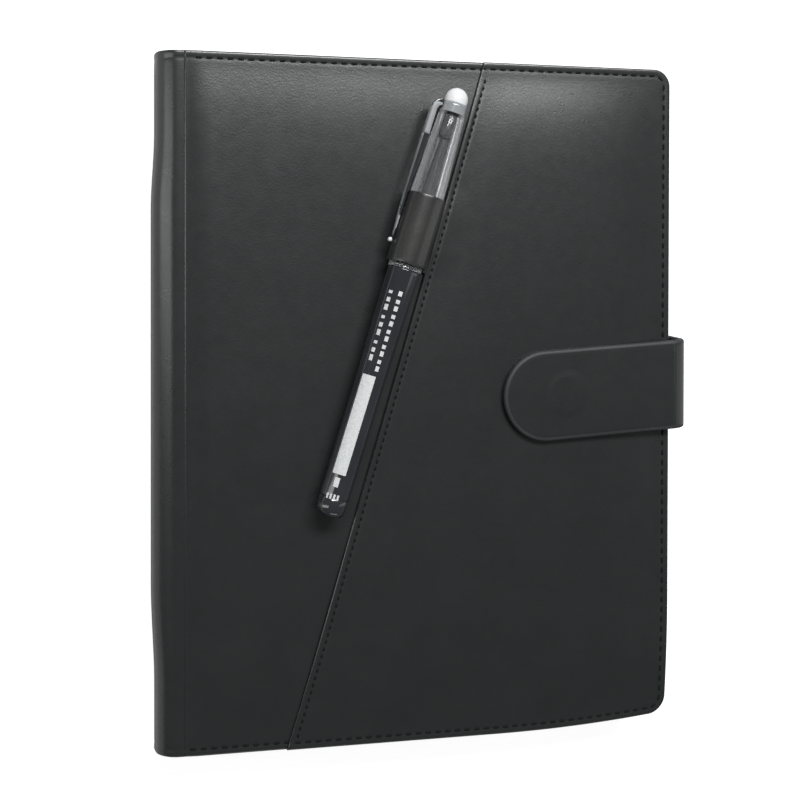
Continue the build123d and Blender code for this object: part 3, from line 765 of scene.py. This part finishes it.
def band_grid(path, s0, s1, half, bevel, thick_at):
    """Band swept on a plane path between two places along the pen, rounded, of varied thickness."""
    d = np.gradient(path, axis=0)
    d /= np.linalg.norm(d, axis=1)[:, None]
    normal = np.stack([-d[:, 1], d[:, 0]], -1)
    count = int(round((s1 - s0 - 2 * bevel) / 0.8)) + 1
    top = [(m, half) for m in np.linspace(s0 + bevel, s1 - bevel, count)]
    turn = np.radians([30, 60, 90])
    side = [(s1 - bevel + bevel * sin(t), half - bevel * (1 - cos(t)) * 0.8) for t in turn]
    section = top + side
    section += [(s, -h) for s, h in section[::-1]]
    section += [(s0 + s1 - s, -h) for s, h in side] + [(s0 + s1 - s, h) for s, h in side[::-1]]
    s, off = np.array(section).T
    right, up = (path[:, k, None] + normal[:, k, None] * off[None, :] * thick_at[:, None] for k in (0, 1))
    return pen_points(s[None, :], right, up)


def capped(grid):
    """Closes both ends of a tube of rows with a row drawn to its middle."""
    a, b = grid[:1].mean(1, keepdims=True), grid[-1:].mean(1, keepdims=True)
    n = grid.shape[1]
    return np.concatenate([np.repeat(a, n, 1), grid, np.repeat(b, n, 1)])


path = loop_path()
skive = np.where(path[:, 0] > LOOP_R + 0.6, 0.5, 1.0)
skive = np.convolve(np.pad(skive, 4, mode="edge"), np.ones(9) / 9, mode="valid")
band = capped(band_grid(path, LOOP_FROM, LOOP_TO, LOOP_T / 2, 0.3, skive))
# the loop's lighter leather is a painted highlight
piece("pen_loop_band", [tube(band)], [LIT_LOOP_LEATHER], "front_cover", "leather", "pen_loop")


def cap_r(s):
    """Outside radius of the clear cap: even over its lower part, then tapering to the crown."""
    return CAP_R + (CAP_TOP_R - CAP_R) * np.clip((s - TAPER_FROM) / (CROWN_FROM - TAPER_FROM), 0, 1)


outside = [(CAP_MOUTH, CAP_R - 0.42), (CAP_MOUTH, CAP_R - 0.15), (CAP_MOUTH + 0.15, CAP_R)]
outside += run_rows(CAP_MOUTH + 1.2, CAP_R, TAPER_FROM - 2, CAP_R, 8)
END = CROWN_FROM - CAP_END
outside += [(s, cap_r(s)) for s in np.linspace(TAPER_FROM + 1, END, 10)]
collar = [outside[-1]] + [(s, cap_r(s)) for s in (END + 1, CROWN_FROM - 1, CROWN_FROM - 0.15)]
collar += [(CROWN_FROM, CAP_TOP_R - 0.2), (CROWN_FROM, 0.0)]
inside = [(END, 0.0), (END, 2.5), (END - 0.3, 2.65), (END - 6, 2.75), (END - 16, 2.95)]
inside += [(END - 25, 3.15), (END - 30, 3.4)] + bend_rows(END - 31, 3.5, END - 36, CAP_R - CAP_WALL, 7, -1)
inside += [(CAP_MOUTH + 0.6, CAP_R - CAP_WALL), (CAP_MOUTH, CAP_R - 0.42)]
piece("clear_cap_shell", [tube(turned(outside)), tube(turned(collar), 1), tube(turned(inside))],
      [CLEAR, COLLAR], "pen_cap_body", "clear", "pen_cap")

# the clip: start, gap over the loop, thickness, width, bead, rounding, and distance from the axis at its head
CLIP_FROM, CLIP_GAP, CLIP_T, CLIP_W, BEAD_R, CLIP_ROUND, HEAD_IN = 54.8, 0.2, 0.9, 3.2, 0.8, 2.4, 5.4
CLIP_IN = LOOP_R + CLIP_GAP


def clip_outside(s):
    """Outer line of the clip: straight, rounded over at its head end."""
    k = np.clip((s - CROWN_FROM + CLIP_ROUND) / CLIP_ROUND, 0, 1)
    return CLIP_IN + CLIP_T - CLIP_ROUND * (1 - np.sqrt(1 - k * k))


def clip_inside(s):
    """Inner line of the clip: beside the cap at its head, then out over the loop."""
    out_over = np.clip((s - LOOP_TO - 2) / (CROWN_FROM - 14 - LOOP_TO - 2), 0, 1)
    to_cap = (HEAD_IN - CAP_TOP_R + 0.3) * smooth01((s - CROWN_FROM + 3) / 0.8)
    return np.where(s > CROWN_FROM - 3, HEAD_IN - to_cap, CLIP_IN - (CLIP_IN - HEAD_IN) * out_over)


def bar(s, inner, outer, half):
    """Rounded bar on the pen's left, closed at both ends: inner and outer are its distances from the axis."""
    a = np.linspace(0, 2 * pi, 21)[:-1]
    side, rise = (np.sign(v) * abs(v) ** 0.5 for v in (np.cos(a), np.sin(a)))
    s, inner, outer, half = (k[:, None] for k in (s, inner, outer, half + 0 * s))
    right = -((outer + inner) / 2 + (outer - inner) / 2 * side[None, :])
    return tube(capped(pen_points(s, right, half * rise[None, :])))


clip_head = CROWN_FROM - 3 + 2.98 * np.sin(np.linspace(0, pi / 2, 14))
clip_s = np.concatenate([np.linspace(CLIP_FROM, CROWN_FROM - 3.2, 40), clip_head])
thin = 0.45 * smooth01((66 - clip_s) / 8)
narrow = 0.55 + 0.45 * smooth01((clip_s - 57) / 12)
clip = bar(clip_s, clip_inside(clip_s) + thin * 0.2, clip_outside(clip_s) - thin * 0.8, CLIP_W / 2 * narrow)
piece("cap_clip", [clip], [SMOKE], "pen_cap_body", "smoke")

# painted highlights: a pale grey line along the clip's outer edge and a pale grey wedge at its lower end
# stand in for light caught by the clear clip; the grey block at its head is a grey part
edge_s = np.linspace(66.5, 92.5, 24)
clip_edge_glint = bar(edge_s, clip_outside(edge_s) - 0.32, clip_outside(edge_s) + 0.03, CLIP_W / 2 - 0.35)
block_s = np.linspace(92.4, 104.0, 16)
block_out = clip_outside(block_s) - 0.05 + 0.1 * (block_s < 102)
block = bar(block_s, clip_inside(block_s) + 0.15, block_out, CLIP_W / 2 + 0.05)
wedge_s = np.linspace(56.5, 66.5, 12)
sloped = smooth01((66 - wedge_s) / 8)
clip_tip_glint = bar(wedge_s, CLIP_IN - 0.02 + 0.1 * sloped, clip_outside(wedge_s) + 0.02 - 0.3 * sloped,
            CLIP_W * 0.4 - 0.5 * smooth01((64 - wedge_s) / 8))
piece("clip_block_and_painted_glints", [clip_edge_glint, block, clip_tip_glint], [GREY], "pen_cap_body", "white_plastic")

ball_a, ball_j = np.linspace(0, pi, 11)[:, None], np.linspace(0, 2 * pi, 21)[None, :-1]
ring = BEAD_R * np.sin(ball_a)
bead = pen_points(CLIP_FROM - BEAD_R * np.cos(ball_a), ring * np.cos(ball_j) - CLIP_IN - BEAD_R,
                  1.3 * ring * np.sin(ball_j))
piece("clip_bead", [tube(bead)], [WHITE], "pen_cap_body", "white_plastic")

crown = [(CROWN_FROM + 0.02, 0.0), (CROWN_FROM + 0.02, CROWN_R - 0.35)]
crown += bend_rows(CROWN_FROM + 0.02, CROWN_R - 0.35, CROWN_FROM + 0.35, CROWN_R, 5, -1)[1:]
crown += bend_rows(CROWN_FROM + 1.6, CROWN_R, PEN_TOP, 0.0, 18)
lathe("pen_crown", "cap_crown", crown, WHITE, "pen_cap_body", "white_plastic")

LINER_L, LINER_R, LINER_BORE = 8.5, 2.5, 1.7
liner = [(END - 0.02, LINER_BORE), (END - 0.02, LINER_R - 0.2), (END - 0.3, LINER_R - 0.03)]
LINER_END = END - LINER_L
liner += run_rows(END - 1, LINER_R - 0.03, LINER_END + 0.5, LINER_R - 0.03, 8)
liner += [(LINER_END, LINER_R - 0.3), (LINER_END, LINER_BORE + 0.1), (LINER_END + 0.4, LINER_BORE)]
lathe("cap_liner_tube", "cap_liner", liner + liner[:1], BLACK, "pen_cap_body", "dark_plastic", 48)


def barrel_r(s):
    """Outside radius of the barrel: a little fuller towards the cap's mouth."""
    return BARREL_R - 0.05 + 0.48 * smooth01((s - 6) / 36)


bore = BARREL_R - 0.9
barrel = [(NOSE_FROM, bore), (NOSE_FROM, BARREL_R - 0.25), (NOSE_FROM - 0.25, BARREL_R)]
barrel += run_rows(NOSE_FROM - 1, BARREL_R, CAP_MOUTH + 0.1, BARREL_R, 8)
barrel += bend_rows(CAP_MOUTH - 0.05, BARREL_R, CAP_MOUTH - 0.5, barrel_r(CAP_MOUTH), 6, -1)
barrel += [(s, barrel_r(s)) for s in np.linspace(CAP_MOUTH - 1.5, PEN_END + 7, 34)]
barrel += [(PEN_END + 6.2, barrel_r(0)), (PEN_END + 6.0, BARREL_R - 0.2), (PEN_END + 6.0, bore)]
barrel += run_rows(PEN_END + 6.2, bore, NOSE_FROM - 1, bore, 10) + [(NOSE_FROM, bore)]
lathe("barrel_tube", "pen_barrel", barrel, SMOKE, "pen_body", "smoke")

plug = [(PEN_END + 8.0, 0.0), (PEN_END + 8.0, bore - 0.3), (PEN_END + 7.7, bore - 0.02)]
plug += [(PEN_END + 6.0, bore - 0.02), (PEN_END + 5.98, BARREL_R - 0.2), (PEN_END + 5.8, BARREL_R - 0.06)]
plug += [(PEN_END + 2.6, BARREL_R - 0.12)]
plug += bend_rows(PEN_END + 2.4, BARREL_R - 0.13, PEN_END, BARREL_R - 2.2, 9)[1:]
plug += [(PEN_END, 1.2), (PEN_END + 0.5, 0.9), (PEN_END + 0.5, 0.0)]
lathe("barrel_plug", "tail_plug", plug, SMOKE, "pen_body", "dark_plastic")

NECK, TIP = NOSE_FROM + NOSE_ROOT, NOSE_FROM + NOSE_ROOT + NOSE_L
SOCKET_R, TIP_BORE = 1.72, 0.7
nose = [(NOSE_FROM - 6, SOCKET_R), (NOSE_FROM - 6, bore - 0.3), (NOSE_FROM - 5.7, bore - 0.02)]
nose += [(NOSE_FROM + 0.1, bore - 0.02)]
nose += bend_rows(NOSE_FROM + 0.3, bore - 0.05, NECK, NOSE_NECK, 9, 1)
nose += [(NECK + NOSE_L * k, NOSE_NECK - (NOSE_NECK - 1.3) * k ** 1.1) for k in np.linspace(0.06, 1, 14)]
nose += [(TIP + 0.02, 1.1), (TIP + 0.02, TIP_BORE), (NOSE_FROM + 0.2, TIP_BORE), (NOSE_FROM, SOCKET_R)]
nose += nose[:1]
lathe("nose", "nose_cone", nose, BLACK, "pen_body", "dark_plastic", 48)

point = [(TIP, 0.0), (TIP, 0.98), (TIP + 1.4, 0.9), (TIP + 1.6, 0.7), (TIP + 3.4, 0.5)]
point += bend_rows(TIP + 3.5, 0.4, TIP + 4.0, 0.0, 6)
lathe("ball_point", "pen_point", point, STEEL, "pen_body", "metal", 32)

INK_R = 1.68
ink = [(PEN_END + 10, 0.0), (PEN_END + 10, 1.3), (PEN_END + 10.3, INK_R)]
ink += run_rows(PEN_END + 12, INK_R, NOSE_FROM - 1, INK_R, 10)
ink += [(NOSE_FROM - 0.1, INK_R - 0.02), (NOSE_FROM - 0.1, 0.0)]
lathe("ink_refill", "ink_tube", ink, GREY, "pen_body", "white_plastic", 32)


def mark(s0, s1, a0, a1):
    """Printed patch on the barrel: a thin closed shell between two places along it and two angles."""
    s = np.linspace(s0, s1, max(2, int(abs(s1 - s0) / 1.5) + 2))[:, None]
    a = np.radians(np.linspace(a0, a1, max(3, int(abs(a1 - a0) / 5) + 2)))[None, :]
    top, under = [pen_points(s, (barrel_r(s) + lift) * np.cos(a), (barrel_r(s) + lift) * np.sin(a))
                  for lift in (0.03, -0.02)]
    ends = [sheet(np.stack([under[i], top[i]], 0)) for i in (0, -1)]
    return [tube(np.concatenate([under[:, ::-1], top], 1))] + ends


marks = mark(-24.7, 9.4, 88, 142)
for k in range(11):
    marks += mark(11.2 + 2.6 * k, 12.9 + 2.6 * k - 0.4 * (k % 2), 86, 100)
for k in range(9):
    marks += mark(14.2 + 2.9 * k, 16.2 + 2.9 * k - 0.5 * (k % 3), 122, 136)
marks += mark(-29.0, -25.8, 104, 124)
for k in range(4):
    marks += mark(-33.2, -31.4, 88 + 14 * k, 96 + 14 * k)
piece("barrel_marks", marks, [PRINT], "pen_body", "white_plastic", merge=0.002, smooth=False)


# ---------------------------------------------------------------- magnetic strap
# the strap: thickness, middle height, reach past the fore edge, fold radius and its side's two heights
STRAP_T = high("strap_tongue")[2] - low("tongue_lining")[2]
STRAP_OUT = high("strap_side")[0] - FORE
BEND = STRAP_OUT - STRAP_T / 2
WALL_TO = high("strap_tongue")[2] - STRAP_OUT
WALL_FROM = low("strap_fold_back")[2] + STRAP_OUT
ARC, RISE = BEND * pi / 2, WALL_TO - WALL_FROM
# the tongue's tilt, the strap's place along the fore edge, and the tip's radius and distance from that edge
TILT, FORE_Y, TIP_R = radians(4.0), 4.5, 15.7
TIP_AT = (FORE - low("strap_tongue")[0] - TIP_R) / cos(TILT)


def strap_points(along, across, h):
    """The strap's flat pattern wrapped on the cover; along is inward from the fore edge, below 0 round it."""
    y = FORE_Y - (along - across * sin(TILT)) / cos(TILT) * sin(TILT) + across * cos(TILT)
    up = np.clip(-along, 0, ARC) / BEND
    wall = np.clip(-along - ARC, 0, RISE)
    down = np.clip(-along - ARC - RISE, 0, ARC) / BEND
    past = np.clip(-along - 2 * ARC - RISE, 0, None)
    r = BEND + h
    low_fold = -along > ARC + RISE
    x = np.where(low_fold, FORE + r * np.cos(down) - past, FORE + r * np.sin(up) - np.clip(along, 0, None))
    z = np.where(low_fold, WALL_FROM - r * np.sin(down), WALL_TO + r * np.cos(up) - wall)
    return np.stack(np.broadcast_arrays(x, y, z), -1)


SHARES = np.linspace(0, 1, 14)
RIM = 1.25
CORE = TIP_R - RIM
STRAP_MATS = [COVER, EDGE, LINING]


def strap_rim(half):
    """Strap's rim from top to underside: (distance out, height), a fine groove between its two layers."""
    over = [(0.55, half - 0.06), (0.95, half - 0.26), (1.18, half - 0.6)]
    under = [(1.18, -half + 0.5), (0.95, -half + 0.2), (0.6, -half)]
    return over + [(RIM, 0.16), (1.1, 0.0), (RIM, -0.16)] + under


def strap_stretch(name, node, a0, a1, step, body=None):
    """A plain stretch of the strap: its section drawn along it, closed at both ends."""
    half = STRAP_T / 2
    top = [(v, half) for v in np.concatenate([-SHARES[:0:-1], SHARES]) * CORE]
    rim = [(CORE + o, h) for o, h in strap_rim(half)]
    low_line = [(v, -half) for v in np.linspace(CORE, -CORE, 12)]
    sec = np.array(top + rim + low_line + [(-v, h) for v, h in rim[::-1]] + top[:1])
    n = max(2, int(round((a1 - a0) / step)) + 1)
    g = strap_points(np.linspace(a0, a1, n)[:, None], sec[:, 0][None, :], sec[:, 1][None, :])
    cuts = np.cumsum([0, len(top) - 1, len(rim) + 1, len(low_line) - 1, len(rim) + 1])
    patches = [sheet(g[:, i:j + 1], k) for i, j, k in zip(cuts, cuts[1:], (0, 1, 2, 1))]
    for row in (g[0], g[-1]):
        patches.append(sheet(np.stack([row, np.repeat(row.mean(0)[None], len(row), 0)]), 1))
    return piece(name, patches, STRAP_MATS, body, "leather", node)


def strap_end():
    """The tongue with its rounded tip: nested U lines, over the top, round the rim and back below."""
    half, length = STRAP_T / 2, TIP_AT * cos(TILT)
    along = np.linspace(0, length, int(round(length / 1.2)) + 1)
    lean = smooth01((along - 12) / 22)
    turn = np.linspace(-pi / 2, pi / 2, 35)[1:-1]

    def u_line(rad, h):
        drift = lean * rad * sin(TILT)
        low_side, high_side = (np.stack([along + k * drift, 0 * along + k * rad], -1) for k in (-1, 1))
        u, v = TIP_AT + rad * np.cos(turn), rad * np.sin(turn)
        p = np.concatenate([low_side, np.stack([u * cos(TILT) + v * sin(TILT), v], -1), high_side[::-1]])
        near = np.hypot(p[:, 0] - MAGNET_AT, p[:, 1])
        bump = 0.13 * (1 - smooth01((near - 6.6) / 1.3)) if h == half else 0
        return strap_points(p[:, 0], p[:, 1], h + bump)

    top = [u_line(CORE * k, half) for k in SHARES]
    rim = [top[-1]] + [u_line(CORE + o, h) for o, h in strap_rim(half)] + [u_line(CORE, -half)]
    under = rim[-1:] + [u_line(CORE * k, -half) for k in np.linspace(1, 0, 7)[1:]]
    patches = [sheet(np.array(rows), k) for k, rows in enumerate((top, rim, under))]
    piece("strap_tongue_skin", patches, STRAP_MATS, "strap_tongue_body", "leather",
          "strap_tongue", "tongue_lining")


MAGNET_AT = FORE - (low("strap_magnet")[0] + high("strap_magnet")[0]) / 2
strap_end()
fold = strap_stretch("strap_fold_top", "strap_fold_front", -ARC, 0.0, 0.5)
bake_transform(fold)
strap_stretch("strap_side_skin", "strap_side", -ARC - RISE, -ARC, 1.0, "strap_side_body")
fold = strap_stretch("strap_fold_low", "strap_fold_back", -2 * ARC - RISE, -ARC - RISE, 0.5)
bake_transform(fold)


# ---------------------------------------------------------------- stitches
def stitch(at, u0, u1, radius=0.3, rise=0.16, dip=0.3):
    """One stitch: a thread bowed up between two holes. at(u) gives a point on the surface and its normal."""
    a = np.linspace(0, 2 * pi, 7)[:-1, None]
    rings = []
    for t in np.linspace(0, 1, 6):
        c, n = at(u0 + (u1 - u0) * t)
        ahead, _ = at(u0 + (u1 - u0) * t + 0.05)
        side = np.cross((ahead - c) / np.linalg.norm(ahead - c), n)
        lift = rise - (rise + dip) * abs(2 * t - 1) ** 3
        r = radius * (0.55 if t in (0, 1) else 1)
        rings.append(c + n * lift + r * (np.cos(a) * side + 0.8 * np.sin(a) * n))
    return tube(capped(np.array(rings)))


def row_of_stitches(at, length, pitch, share=0.72, **more):
    """Stitches of even pitch along a line, each taking a share of the pitch."""
    return [stitch(at, pitch * (k + (1 - share) / 2), pitch * (k + (1 + share) / 2), **more)
            for k in range(int(length / pitch))]


def rim_line():
    """Dense points of the line SEAM inside the tail, fore and head edges, from hinge round to hinge."""
    r = CORNER_R
    a = np.linspace(0, pi / 2, 12)
    xs, ys = lines((PANEL_X + 1, FORE - r, 2.0)), lines((TAIL + r, HEAD - r, 2.0))
    corner_x, rising, falling = FORE - r, (r - SEAM) * np.sin(a), (r - SEAM) * np.cos(a)
    parts = ((xs, 0 * xs + TAIL + SEAM), (corner_x + rising, TAIL + r - falling), (0 * ys + FORE - SEAM, ys),
             (corner_x + falling, HEAD - r + rising), (xs[::-1], 0 * xs + HEAD - SEAM))
    p = np.concatenate([np.stack(part, -1)[:-1] for part in parts] + [[(xs[0], HEAD - SEAM)]])
    return np.stack(eased(p[:, 0], p[:, 1]), -1)


def along_line(p, height, up=1.0):
    """Follower for stitch(): arc length along the points p, on the surface height(x, y)."""
    d = np.concatenate([[0], np.cumsum(np.hypot(*np.diff(p, axis=0).T))])

    def at(u):
        x, y = np.interp(u, d, p[:, 0]), np.interp(u, d, p[:, 1])
        return np.array([x, y, float(height(np.array(x), np.array(y)))]), np.array([0, 0, up])

    return at, d[-1]


def top_height(x, y):
    """Height of the front's outside: the slanted pocket beyond its edge, the front leather elsewhere."""
    return np.where(x > slant_line(y) + 0.4, flap_height(x, y), front_height(x, y))


RIM_PITCH, HEM_PITCH = 3.5, 2.5
rim = rim_line()
hem_y = np.linspace(TAIL + 3.5, HEAD - 3.5, 120)
hem = np.stack([slant_line(hem_y) + HEM / CU, hem_y], -1)
stitches = row_of_stitches(*along_line(rim, top_height), RIM_PITCH, radius=0.42, rise=0.08)
stitches += row_of_stitches(*along_line(hem, flap_height), HEM_PITCH, 0.66, radius=0.36)
stitches += row_of_stitches(*along_line(rim, level(LINING_Z), -1.0), RIM_PITCH)
piece("front_stitches", stitches, [THREAD], "front_cover", "leather")

stitches = row_of_stitches(*along_line(rim, back_height, -1.0), RIM_PITCH, rise=-0.1, dip=0.2)
stitches += row_of_stitches(*along_line(rim, level(BACK_TOP)), RIM_PITCH)
piece("back_stitches", stitches, [THREAD], "back_cover", "leather")


def spine_follow(part, y):
    """Follower for stitch() across the spine at the place y along it."""
    turn, z = spine_lines(part)
    turn, z = (np.linspace(v[0], v[-1], 40) for v in (turn, z + 0 * turn))
    beyond = (turn - pi / 2) * FOLD_R
    r = FOLD_R - 0.32 - (hinge_groove(beyond) if part == "front" else 0)
    p = np.stack([PANEL_X + r * np.cos(turn), 0 * turn + y, z + r * np.sin(turn)], -1)
    d = np.concatenate([[0], np.cumsum(np.linalg.norm(np.diff(p, axis=0), axis=1))])

    def at(u):
        k = np.interp(u, d, turn)
        return np.array([np.interp(u, d, way) for way in p.T]), np.array([cos(k), 0, sin(k)])

    return at, d[-1]


for part in ("back", "flat", "front"):
    stitches = []
    for y in (TAIL + SEAM, HEAD - SEAM):
        at, length = spine_follow(part, y)
        stitches += row_of_stitches(at, length + 0.01, length / max(1, round(length / RIM_PITCH)), rise=-0.05)
    bend_with(piece("spine_stitches_" + part, stitches, [THREAD], None, "leather"), part)

for node, mat in (("closure_plate", STEEL), ("strap_magnet", STEEL), ("strap_root", COVER)):
    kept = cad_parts[node].data.materials
    kept.clear()
    kept.append(mat)


# ---------------------------------------------------------------- floor, light and camera
GLOSS_SHARE = 0.12  # of the white backdrop, for mirror rays


def seen(tree):
    """One for rays from the camera or through clear plastic, a small share for mirror rays, else nought."""
    ray = add(tree, "LightPath").outputs
    direct = maths(tree, "MAXIMUM", ray["Is Camera Ray"], ray["Is Transmission Ray"])
    return maths(tree, "MAXIMUM", direct, maths(tree, "MULTIPLY", ray["Is Glossy Ray"], GLOSS_SHARE))


def floor_finish():
    """Plain pale floor that reads white to the camera and keeps a faint shadow."""
    mat, tree, sh, _ = finish_of("floor_white", (0.45, 0.45, 0.45), 0.9)
    glow = add(tree, "Emission", Color=(1, 1, 1, 1), Strength=0.9)
    both = add(tree, "AddShader")
    tree.links.new(sh.outputs[0], both.inputs[0])
    tree.links.new(glow.outputs[0], both.inputs[1])
    mixed(tree, seen(tree), sh.outputs[0], both.outputs[0], "Material Output")
    return mat


FLOOR_HALF, FLOOR_Z = 2.5, -0.0004
mesh = bpy.data.meshes.new("floor")
corners = [(i * FLOOR_HALF, j * FLOOR_HALF, FLOOR_Z) for i, j in ((-1, -1), (1, -1), (1, 1), (-1, 1))]
mesh.from_pydata(corners, [], [(0, 1, 2, 3)])
mesh.materials.append(floor_finish())
placed("floor", mesh)

world = bpy.data.worlds.new("studio")
bpy.context.scene.world = world
world.use_nodes = True
tree = world.node_tree
base = tree.nodes["Background"]
base.inputs["Color"].default_value = (1, 1, 1, 1)
base.inputs["Strength"].default_value = 0.05
white = add(tree, "Background", Color=(1, 1, 1, 1), Strength=1.0)
mixed(tree, seen(tree), base.outputs[0], white.outputs[0], "World Output")


def soft_light(name, place, aim, size, power):
    """A rectangular light at a place, turned to a point; millimetres and watts."""
    data = bpy.data.lights.new(name, "AREA")
    data.shape = "RECTANGLE"
    data.size, data.size_y = size[0] * MM, size[1] * MM
    data.energy = power
    o = placed(name, data)
    o.location = Vector(place) * MM
    o.rotation_euler = (Vector(aim) - Vector(place)).to_track_quat("-Z", "Y").to_euler()


soft_light("head_softbox", (110, 780, 1120), (0, 60, 20), (1000, 360), 25)
soft_light("tail_fill", (100, -1250, 600), (0, -60, 20), (1100, 400), 2.6)
soft_light("left_window", (-930, 120, 500), (0, 0, 20), (200, 1000), 2.0)
soft_light("right_strip", (900, -60, 300), (0, 0, 20), (160, 1100), 0.4)

camera = placed("camera", bpy.data.cameras.new("camera"))
yaw, pitch, roll = radians(16.0), radians(0.798), radians(0.112)
forward, up = Vector((sin(yaw), 0, -cos(yaw))), Vector((0, 1, 0))
forward, up = forward * cos(pitch) - up * sin(pitch), up * cos(pitch) + forward * sin(pitch)
right = Vector((cos(yaw), 0, sin(yaw)))
right, up = right * cos(roll) + up * sin(roll), up * cos(roll) - right * sin(roll)
turn = Matrix((right, up, -forward)).transposed().to_4x4()
camera.matrix_world = Matrix.Translation(Vector((-159.35, 37.0, 545.0)) * MM) @ turn
camera.data.sensor_width = 36
camera.data.lens = 72.3825
camera.data.shift_y = -0.107
bpy.context.scene.camera = camera
bpy.context.scene.view_settings.view_transform = "Standard"
